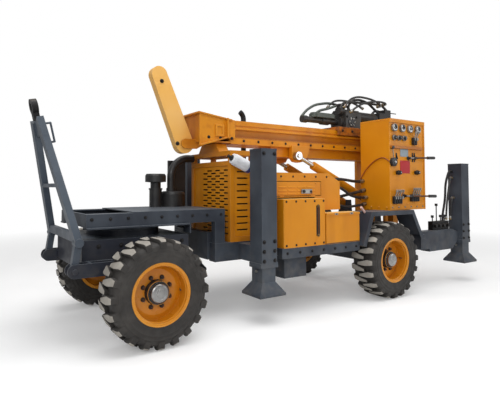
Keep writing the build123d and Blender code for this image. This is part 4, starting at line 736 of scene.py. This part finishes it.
def gauge(work, centre, r, needle):
    """Bezel, black face, white scale with its ticks, and needle; the black left above the scale is a painted
    dark reflection in the glass.
    """
    bezel = [(-0.020, r * 1.05), (0.001, r * 1.05), (0.006, r * 1.0), (0.007, r * 0.90), (0.003, r * 0.84),
             (0.001, r * 0.82)]
    work.lathe(bezel, centre, OUT, zinc, 40, close=False)
    # Painted reflection: the face is black and the white scale covers only its lower part, so its top shows the
    # glass's dark reflection
    work.lathe([(0.0005, r * 0.86), (0.0012, r * 0.84), (0.0016, r * 0.10)], centre, OUT, slot_black, 40)
    arc(work, centre + OUT * 0.0024, r * 0.44, r * 0.80, math.radians(100), math.radians(330), dial_white)
    face = centre + OUT * 0.0026
    for tick in range(9):
        a = math.radians(112 + 26 * tick)
        way = Vector((math.cos(a), 0, math.sin(a)))
        work.rod(face + way * r * 0.64, face + way * r * 0.78, 0.0011, slot_black, 6)
    lean = Vector((math.cos(needle), 0, math.sin(needle)))
    face = centre + OUT * 0.0035
    work.rod(face - lean * r * 0.2, face + lean * r * 0.66, 0.0018, dial_white, 6)


def switch(work, centre, r, turn):
    """Small switch with a turned pointer."""
    ring = [(-0.018, r * 1.18), (0.0, r * 1.18), (0.004, r * 1.05), (0.003, r * 0.9)]
    cap = [(0.003, r * 0.92), (0.016, r * 0.80), (0.019, r * 0.62), (0.019, r * 0.1)]
    work.lathe(ring, centre, OUT, zinc, 28)
    work.lathe(cap, centre, OUT, black_paint, 24)
    work.box((-0.003, -0.003, -r * 0.75), (0.003, 0.003, r * 0.75), zinc, 0.001,
             turn=Quaternion((0, 1, 0), turn), middle=centre + OUT * 0.020)


def plug(work, centre, r):
    """Large black fitting, with a stem up to a round knob."""
    teeth = [(0.0, r * 1.05), (0.010, r * 1.05), (0.014, r * 0.95), (0.016, r * 0.55)]
    work.lathe(teeth, centre, OUT, black_paint, 18, smooth=False)
    work.lathe([(0.016, r * 0.34), (0.024, r * 0.32), (0.028, r * 0.22)], centre, OUT, steel, 24)
    work.rod(centre + OUT * 0.002, centre + Vector((-0.012, 0.004, 0.150)), 0.0045, zinc, 10)
    knob = centre + Vector((-0.012, 0, 0.155))
    work.lathe([(-0.022, 0.014), (0.006, 0.0175), (0.012, 0.013)], knob, OUT, black_paint, 20)


def turn_knob(work, centre, r):
    """Knob with flats and a steel centre."""
    grip = [(0.0, r * 1.25), (0.006, r * 1.25), (0.012, r * 1.1), (0.030, r * 0.9), (0.034, r * 0.6)]
    work.lathe(grip, centre, OUT, grip_plastic, 10, smooth=False)
    work.lathe([(0.034, r * 0.4), (0.037, r * 0.36), (0.038, r * 0.1)], centre, OUT, steel, 16)


def panel_faces():
    """Faces of the dials, switches and knobs of the source's panel."""
    work = Build("dial_faces", "chassis", "steel")
    for k, dial in enumerate(DIALS):
        centre = at(PANEL_X + dial.x, PANEL_Y - DIAL_OUT, PANEL_Z + dial.z)
        if dial.kind == "gauge":
            gauge(work, centre, dial.r, NEEDLES[k])
        elif dial.kind == "small":
            switch(work, centre, dial.r, 0.5 + k)
        elif dial.kind == "plug":
            plug(work, centre, dial.r)
        else:
            turn_knob(work, centre, dial.r)
    work.done()


Levers = namedtuple("Levers", "x z count")
LEVER_ROWS = (
    Levers(x=0.044, z=0.120, count=4),
    Levers(x=0.345, z=0.138, count=4),
    Levers(x=0.392, z=0.760, count=2),
)
LEVER_PITCH = 0.036
HANDLE_OUT = 0.066
GRIP_LENGTH = 0.124
HANDLES = (((0.317, 0.561), (0.700, 0.574)), ((0.236, 0.151), (0.718, 0.143)))


def panel_levers():
    """Boots and stems of the levers, and grips of the two long handles."""
    work = Build("lever_knobs", "chassis", "black_parts")
    for row in LEVER_ROWS:
        for k in range(row.count):
            root = at(PANEL_X + row.x + LEVER_PITCH * k, PANEL_Y, PANEL_Z + row.z)
            foot = root + Vector((0, -0.026, 0.010))
            tip = root + Vector((0, -0.062, 0.090))
            work.rod(foot, tip, 0.0058, zinc, 10)
            low, high = root + Vector((-0.0105, -0.038, -0.050)), root + Vector((0.0105, 0.0, 0.030))
            work.box(low, high, black_paint, 0.006)
            work.lathe([(0.0, 0.0135), (0.010, 0.0115), (0.020, 0.0080)], foot, tip - foot, black, 14)
    for (x, z), (tip_x, tip_z) in HANDLES:
        root = at(PANEL_X + x, PANEL_Y, PANEL_Z + z)
        work.lathe([(0.0, 0.022), (0.008, 0.022), (0.012, 0.016), (0.040, 0.013)], root, OUT, black_paint, 20)
        tip = at(PANEL_X + tip_x, PANEL_Y - HANDLE_OUT, PANEL_Z + tip_z)
        back = at(PANEL_X + x, PANEL_Y - HANDLE_OUT, PANEL_Z + z)
        way = (tip - back).normalized()
        rows = [(-0.004, 0.0125)] + [(0.0100 * k, 0.0158 if k % 2 else 0.0170) for k in range(12)]
        work.lathe(rows + [(0.122, 0.0165), (0.128, 0.010)], tip - way * GRIP_LENGTH, way, grip_plastic, 20)
        work.lathe([(0.0, 0.0125), (0.060, 0.0125), (0.064, 0.0098)], back, way, black_paint, 16)
        bare = (tip - back).length - GRIP_LENGTH + 0.004
        work.lathe([(0.060, 0.0096), (bare, 0.0096)], back, way, rusty, 14)
    work.done()


# Blank plates on the panel: two corners and a look; slots: x, foot and top
PLATES = (
    ((0.180, 0.576), (0.317, 0.658), grey_plate),
    ((0.176, 0.396), (0.344, 0.534), red_plate),
)
PLATE_DEPTH = 0.004
SLOTS = ((0.115, 0.526, 0.612), (0.396, 0.524, 0.624), (0.430, 0.524, 0.624))


def cabinet_trim():
    """Plates, slots, folds, bolts, welds and rear door of the control cabinet."""
    work = Build("cabinet_trim", "chassis", "yellow_paint")
    face = PANEL_Y - 0.0005
    for low, high, look in PLATES:
        start = at(PANEL_X + low[0], face - PLATE_DEPTH, PANEL_Z + low[1])
        work.box(start, at(PANEL_X + high[0], face, PANEL_Z + high[1]), look, 0.0015)
        for x in (low[0] + 0.008, high[0] - 0.008):
            for z in (low[1] + 0.008, high[1] - 0.008):
                rivet = at(PANEL_X + x, face - PLATE_DEPTH, PANEL_Z + z)
                work.lathe([(0.0, 0.0035), (0.0015, 0.003), (0.002, 0.001)], rivet, OUT, zinc, 12)
    for x, low, high in SLOTS:
        x += PANEL_X
        low, high = low + PANEL_Z, high + PANEL_Z
        work.box(at(x - 0.010, face - 0.003, low), at(x + 0.010, face, high), slot_black, 0.001)
        work.rod(at(x, face, high - 0.01), at(x, face - 0.018, low + 0.02), 0.0055, black_paint, 12, 0.002)
    # Folded edges of the door sheet, and the plinth line near the foot
    work.box(at(2.662, -0.7045, 0.944), at(3.244, -0.6990, 0.952), yellow, 0.002)
    work.box(at(2.662, -0.7035, 0.892), at(3.244, -0.6990, 0.899), yellow, 0.0015)
    work.box(at(2.652, -0.7035, 0.894), at(2.660, -0.6990, 1.820), yellow, 0.0015)
    bolt_row(work, at(2.690, -0.7005, 0.918), at(3.220, -0.7005, 0.918), 6, OUT, 0.010, zinc)
    bolt_row(work, at(2.6495, -0.660, 0.915), at(2.6495, -0.360, 0.915), 4, (-1, 0, 0), 0.012, yellow)
    bolt_row(work, at(3.2605, -0.660, 0.915), at(3.2605, -0.360, 0.915), 4, (1, 0, 0), 0.012, yellow)
    # Rear door of the cabinet with its lift-off hinges and latch
    work.box(at(2.700, -0.3205, 0.960), at(3.210, -0.3160, 1.790), yellow, 0.003)
    for z in (1.080, 1.375, 1.670):
        work.rod(at(2.694, -0.3130, z - 0.035), at(2.694, -0.3130, z + 0.035), 0.008, zinc, 14, 0.002)
        work.box(at(2.700, -0.3160, z - 0.028), at(2.735, -0.3130, z + 0.028), zinc, 0.001)
    work.box(at(3.150, -0.3160, 1.340), at(3.180, -0.3090, 1.430), black_paint, 0.004)
    work.rod(at(3.165, -0.3160, 1.355), at(3.165, -0.2990, 1.355), 0.007, zinc, 14)
    # Welded seams on the cap and the side
    bead(work, at(2.652, -0.698, 1.8535), at(3.258, -0.698, 1.8535), 0.0022, yellow)
    bead(work, at(2.6495, -0.690, 1.8500), at(2.6495, -0.330, 1.8500), 0.0022, yellow)
    work.done()


panel_faces()
panel_levers()
cabinet_trim()


def seat(node_name, place, way):
    """Point where a line from a place meets a flat face of a node (or of its left and right pair)."""
    way = Vector(way).normalized()
    found = []
    for name, thing in nodes.items():
        if name not in (node_name, f"{node_name}_left", f"{node_name}_right"):
            continue
        world = thing.matrix_world
        inverse = world.inverted()
        hit, point, normal, _ = thing.ray_cast(inverse @ at(*place), inverse.to_3x3() @ way)
        if hit and (world.to_3x3() @ normal).normalized().dot(way) < -0.9:
            found.append(world @ point)
    return min(found, key=lambda p: (p - at(*place)).length) if found else None


def studs(work, node_name, start, end, count, way, size):
    """Row of bolts seated on a node; places with no flat face are left out."""
    for k in range(count):
        place = seat(node_name, Vector(start).lerp(Vector(end), k / (count - 1)), way)
        if place:
            work.bolt(place, -Vector(way), size, iron)


# Rows of bolts on both sides: node, first and last place beside it, how many, and size
Row = namedtuple("Row", "node start end count size", defaults=(0.014,))
CHASSIS_ROWS = (
    Row("jack_tubes", (0.945, 0.9, 0.52), (0.945, 0.9, 0.68), 3, 0.018),
    Row("jack_tubes", (1.057, 0.9, 0.52), (1.057, 0.9, 0.68), 3, 0.018),
    Row("jack_tubes", (0.945, 0.9, 1.42), (1.057, 0.9, 1.42), 2, 0.018),
    Row("jack_tubes", (3.954, 0.9, 0.52), (3.954, 0.9, 0.68), 3, 0.018),
    Row("jack_tubes", (4.066, 0.9, 0.52), (4.066, 0.9, 0.68), 3, 0.018),
    Row("main_frame", (2.25, 0.9, 0.93), (3.85, 0.9, 0.93), 12),
    Row("platform_sills", (1.24, 0.9, 0.555), (2.12, 0.9, 0.555), 7),
    Row("side_tanks", (1.23, 0.9, 1.008), (1.68, 0.9, 1.008), 5, 0.011),
    Row("side_tanks", (1.23, 0.9, 0.622), (1.68, 0.9, 0.622), 5, 0.011),
    Row("hood", (1.15, 0.9, 1.235), (2.02, 0.9, 1.235), 7, 0.011),
    Row("gooseneck", (-0.38, 0.9, 0.90), (0.74, 0.9, 0.90), 9),
)
STEERING_ROWS = (Row("steer_carriage", (-0.50, 0.9, 0.70), (0.36, 0.9, 0.70), 6, 0.018),)
MAST_ROWS = (
    Row("mast_beam", (1.15, 0.6, 1.585), (3.80, 0.6, 1.585), 16),
    Row("crown_head", (0.62, 0.6, 1.60), (1.00, 0.6, 1.60), 4, 0.016),
)
HEAD_ROWS = (Row("power_head", (2.20, 0.6, 1.775), (3.60, 0.6, 1.775), 10, 0.016),
             Row("power_head", (2.66, 0.6, 1.96), (2.82, 0.6, 1.96), 2, 0.018))
JIB_ROWS = (Row("crown_arm", (0.338, 0.6, 2.095), (0.495, 0.6, 1.538), 2, 0.020),)


def fasteners(name, body, rows):
    """Bolt rows on both sides of a body."""
    work = Build(name, body, "steel")
    for row in rows:
        for side in SIDES.values():
            start, end = ((x, y * side, z) for x, y, z in (row.start, row.end))
            studs(work, row.node, start, end, row.count, (0, -side, 0), row.size)
    work.done()


FOOT_BOLT_X = 0.112
FOOT_BOLT_YS = (0.575, 0.757)
LEG_X = {"front": 1.001, "rear": 4.010}
LEG_Y = 0.666
LEG_PIN_Z = 0.43


def foot_bolts():
    """Bolts on each jack foot, and the pin through each leg."""
    for end, x in LEG_X.items():
        for word, side in SIDES.items():
            work = Build(f"foot_bolts_{end}_{word}", f"leg_{end}_{word}", "steel")
            for dx in (-FOOT_BOLT_X, FOOT_BOLT_X):
                for y in FOOT_BOLT_YS:
                    place = seat(f"jack_leg_{end}", (x + dx, y * side, 0.44), (0, 0, -1))
                    if place:
                        work.bolt(place, (0, 0, 1), 0.018, zinc)
            pin = [at(x + dx, LEG_Y * side, LEG_PIN_Z) for dx in (-0.085, 0.085)]
            work.rod(*pin, 0.012, zinc, 14, 0.002)
            work.done()


BOX_FACE = 0.700
SIGHT_X = 1.6095
PANEL_FACE = 0.555
LID_EDGE = -0.7075


def side_boxes():
    """Sight slots on the tanks, weld seams, oil filter and the stub of a pale tube."""
    work = Build("side_box_fittings", "chassis", "black_parts")
    for side in SIDES.values():
        face = BOX_FACE * side
        lift = 0.0025 * side
        ys = sorted((face - lift, face + lift))
        work.box(at(SIGHT_X - 0.0225, ys[0], 0.690), at(SIGHT_X + 0.0225, ys[1], 0.966), slot_black, 0.002)
        work.rod(at(SIGHT_X, face + lift, 0.700), at(SIGHT_X, face + lift, 0.956), 0.006, sight_glass, 12)
        for z in (0.695, 0.961):
            work.bolt(at(SIGHT_X, face + lift, z), (0, side, 0), 0.016, brass)
        bead(work, at(1.715, face, 0.606), at(2.165, face, 0.606), 0.0035, black_paint)
    oil_filter(work, at(0.823, -0.45, 1.393), at(1.017, -0.45, 1.309))
    work.box(at(0.900, -0.412, 1.325), at(0.945, -0.396, 1.375), black_paint, 0.002)
    work.rod(at(2.243, -0.66, 0.933), at(2.317, -0.66, 0.860), 0.012, pink_rubber, 16, 0.002)
    work.done()


def oil_filter(work, start, end):
    """White can with ribs and a blue end, between two points."""
    length = (end - start).length
    way = end - start
    ribs = [(0.0, 0.030), (0.006, 0.046), (0.020, 0.049)]
    for k in range(14):
        ribs += [(0.026 + 0.010 * k, 0.050), (0.031 + 0.010 * k, 0.053)]
    work.lathe(ribs + [(length - 0.036, 0.050)], start, way, white_paint, 32)
    cap = [(length - 0.037, 0.055), (length - 0.006, 0.055), (length, 0.047)]
    work.lathe(cap, start, way, blue_plastic, 32)
    neck = [(-0.045, 0.014), (-0.012, 0.014), (-0.010, 0.026), (0.002, 0.028)]
    work.lathe(neck, start, way, black_paint, 20)


def latches():
    """Latches on the hood panels and on the tool box lid."""
    for word, side in SIDES.items():
        latch = Build(f"hood_latch_{word}", f"panel_{word}", "steel")
        out = (0, side, 0)
        ys = sorted(((PANEL_FACE - 0.0005) * side, (PANEL_FACE + 0.006) * side))
        latch.box(at(1.535, ys[0], 1.074), at(1.675, ys[1], 1.116), zinc, 0.003)
        button = at(1.565, (PANEL_FACE + 0.005) * side, 1.095)
        latch.lathe([(0.0, 0.016), (0.010, 0.015), (0.013, 0.011)], button, out, black_paint, 20)
        latch.bolt(at(1.655, (PANEL_FACE + 0.006) * side, 1.095), out, 0.012, iron)
        latch.done()
    lid = Build("lid_latch", "box_lid", "steel")
    for x in (1.84, 2.05):
        lid.box(at(x - 0.022, LID_EDGE - 0.003, 0.871), at(x + 0.022, LID_EDGE, 0.889), zinc, 0.001)
        button = at(x, LID_EDGE - 0.003, 0.880)
        lid.lathe([(0.0, 0.006), (0.003, 0.006), (0.004, 0.004)], button, OUT, iron, 12)
    lid.done()


BEARING_COVER = (2.74, -0.10, 1.90)


def head_fittings():
    """Bearing cover and hose ends on the power head."""
    work = Build("power_head_fittings", "drill_head", "iron")
    centre = at(*BEARING_COVER)
    cover = [(0.0, 0.060), (0.024, 0.060), (0.028, 0.055), (0.028, 0.030), (0.032, 0.028)]
    work.lathe(cover, centre, OUT, black_paint, 36)
    for k in range(6):
        a = math.pi / 3 * k
        spot = centre + Vector((0.045 * math.cos(a), -0.027, 0.045 * math.sin(a)))
        work.bolt(spot, OUT, 0.011, zinc)
    for x, z in ((3.220, 2.128), (3.317, 2.160)):
        ferrule(work, at(x, -0.10, z), OUT, 0.013)
    work.done()


# Hoses: radius and a route chosen from the photograph
HEAD_HOSES = (
    Hose(0.0125, (
        (2.629, -0.10, 2.060), (2.680, -0.12, 2.150), (2.800, -0.13, 2.205), (2.950, -0.13, 2.212),
        (3.100, -0.15, 2.190), (3.220, -0.17, 2.140), (3.220, -0.112, 2.128),
    )),
    Hose(0.0125, (
        (2.713, -0.11, 2.007), (2.780, -0.15, 2.080), (2.950, -0.16, 2.150), (3.180, -0.17, 2.180),
        (3.317, -0.18, 2.165), (3.317, -0.112, 2.160),
    )),
    Hose(0.0125, (
        (2.560, 0.10, 2.080), (2.650, 0.12, 2.170), (2.820, 0.13, 2.210), (3.050, 0.12, 2.200),
        (3.200, 0.10, 2.130),
    )),
)
BAY_HOSES = (
    Hose(0.016, (
        (2.050, -0.30, 1.150), (2.180, -0.31, 1.225), (2.380, -0.33, 1.215), (2.540, -0.34, 1.190),
        (2.655, -0.35, 1.200),
    )),
    Hose(0.016, (
        (2.050, -0.33, 1.080), (2.200, -0.34, 1.020), (2.400, -0.35, 1.050), (2.655, -0.37, 1.100),
    )),
    Hose(0.014, (
        (2.050, -0.36, 1.020), (2.220, -0.37, 0.930), (2.450, -0.37, 0.915), (2.655, -0.38, 0.950),
    )),
    Hose(0.014, (
        (2.050, -0.39, 1.180), (2.250, -0.40, 1.130), (2.430, -0.39, 1.010), (2.655, -0.40, 1.020),
    )),
)
JACK_HOSES = (
    Hose(0.011, (
        (3.915, -0.640, 1.240), (3.860, -0.650, 1.245), (3.800, -0.655, 1.050), (3.770, -0.650, 0.880),
        (3.770, -0.645, 0.740),
    )),
    Hose(0.011, (
        (3.915, -0.655, 1.000), (3.870, -0.660, 1.000), (3.850, -0.660, 0.880), (3.840, -0.650, 0.740),
    )),
)
CABLE_X = 2.642
CABLE = ((-0.700, 1.405), (-0.648, 1.453), (-0.560, 1.440), (-0.478, 1.397), (-0.367, 1.301), (-0.294, 1.178))


fasteners("frame_fasteners", "chassis", CHASSIS_ROWS)
fasteners("steering_fasteners", "steering", STEERING_ROWS)
fasteners("mast_fasteners", "mast", MAST_ROWS)
fasteners("head_fasteners", "drill_head", HEAD_ROWS)
fasteners("jib_fasteners", "crown_jib", JIB_ROWS)
foot_bolts()
side_boxes()
latches()
head_fittings()
hoses("head_hose", "drill_head", HEAD_HOSES, "head_hose_ends")
hoses("bay_hose", "chassis", BAY_HOSES, "bay_hose_ends")
hoses("jack_hose", "chassis", JACK_HOSES, "jack_hose_ends")
curve("cabinet_cable", "chassis", [at(CABLE_X, y, z) for y, z in CABLE], 0.006, orange_cable)


def lamp(name, place, aim, size, power):
    data = bpy.data.lights.new(name, "AREA")
    data.shape = "RECTANGLE"
    data.size, data.size_y = size
    data.energy = power
    made = bpy.data.objects.new(name, data)
    made.location = place
    made.rotation_euler = (Vector(aim) - Vector(place)).to_track_quat("-Z", "Y").to_euler()
    bpy.context.scene.collection.objects.link(made)


def add_floor():
    """Pale floor that keeps the shadow near the object and is plain white far away."""
    g = Graph("pale_floor")
    tone = g.mix(g.ramp(g.noise(3.0, 3.0), 0.3, 0.7), (0.80, 0.80, 0.80), (0.84, 0.84, 0.84))
    g.bump(g.noise(300.0, 2.0), 0.0004, 0.3)
    g.set(Base_Color=tone, Roughness=0.9, Specular_IOR_Level=0.1)
    rays = g.node("ShaderNodeLightPath")
    seen = g.math("MAXIMUM", rays.outputs["Is Camera Ray"], rays.outputs["Is Transmission Ray"])
    length = g.node("ShaderNodeVectorMath", operation="LENGTH")
    g.link(g.place, length.inputs[0])
    far = g.math("MULTIPLY", g.ramp(length.outputs["Value"], 4.0, 8.5), seen)
    lift = g.node("ShaderNodeEmission")
    g.feed(lift.inputs["Strength"], g.math("MULTIPLY", seen, FLOOR_LIFT))
    lit = g.node("ShaderNodeAddShader")
    g.link(g.surface.outputs[0], lit.inputs[0])
    g.link(lift.outputs[0], lit.inputs[1])
    white = g.node("ShaderNodeEmission")
    blend = g.node("ShaderNodeMixShader")
    g.link(far, blend.inputs[0])
    g.link(lit.outputs[0], blend.inputs[1])
    g.link(white.outputs[0], blend.inputs[2])
    g.link(blend.outputs[0], g.out.inputs[0])
    mesh = bpy.data.meshes.new("floor")
    reach = 60.0
    corners = [(-reach, -reach, 0), (reach, -reach, 0), (reach, reach, 0), (-reach, reach, 0)]
    mesh.from_pydata(corners, [], [(0, 1, 2, 3)])
    mesh.materials.append(g.material)
    floor = bpy.data.objects.new("floor", mesh)
    bpy.context.scene.collection.objects.link(floor)


def add_world():
    world = bpy.data.worlds.new("studio")
    world.use_nodes = True
    bpy.context.scene.world = world
    tree = world.node_tree
    tree.nodes.clear()
    out = tree.nodes.new("ShaderNodeOutputWorld")
    soft = tree.nodes.new("ShaderNodeBackground")
    soft.inputs[0].default_value = (1, 1, 1, 1)
    soft.inputs[1].default_value = WORLD_LIGHT
    seen = tree.nodes.new("ShaderNodeBackground")
    seen.inputs[0].default_value = (1, 1, 1, 1)
    seen.inputs[1].default_value = 1.0
    path = tree.nodes.new("ShaderNodeLightPath")
    either = tree.nodes.new("ShaderNodeMath")
    either.operation = "MAXIMUM"
    mix = tree.nodes.new("ShaderNodeMixShader")
    tree.links.new(path.outputs["Is Camera Ray"], either.inputs[0])
    tree.links.new(path.outputs["Is Transmission Ray"], either.inputs[1])
    tree.links.new(either.outputs[0], mix.inputs[0])
    tree.links.new(soft.outputs[0], mix.inputs[1])
    tree.links.new(seen.outputs[0], mix.inputs[2])
    tree.links.new(mix.outputs[0], out.inputs[0])


def add_camera():
    data = bpy.data.cameras.new("camera")
    data.lens = CAMERA_LENS
    data.sensor_width = 36.0
    data.shift_x, data.shift_y = CAMERA_SHIFT
    yaw, pitch = math.radians(CAMERA_YAW), math.radians(CAMERA_PITCH)
    ahead = Vector((math.sin(yaw) * math.cos(pitch), math.cos(yaw) * math.cos(pitch), math.sin(pitch)))
    turn = ahead.to_track_quat("-Z", "Y") @ Quaternion((0, 0, 1), math.radians(CAMERA_ROLL))
    made = bpy.data.objects.new("camera", data)
    made.location = CAMERA_PLACE
    made.rotation_mode = "QUATERNION"
    made.rotation_quaternion = turn
    bpy.context.scene.collection.objects.link(made)
    bpy.context.scene.camera = made


add_floor()
add_world()
add_camera()
for row in LAMPS:
    lamp(row.name, row.place, row.aim, row.size, row.power)

bpy.context.scene.view_settings.view_transform = "Standard"
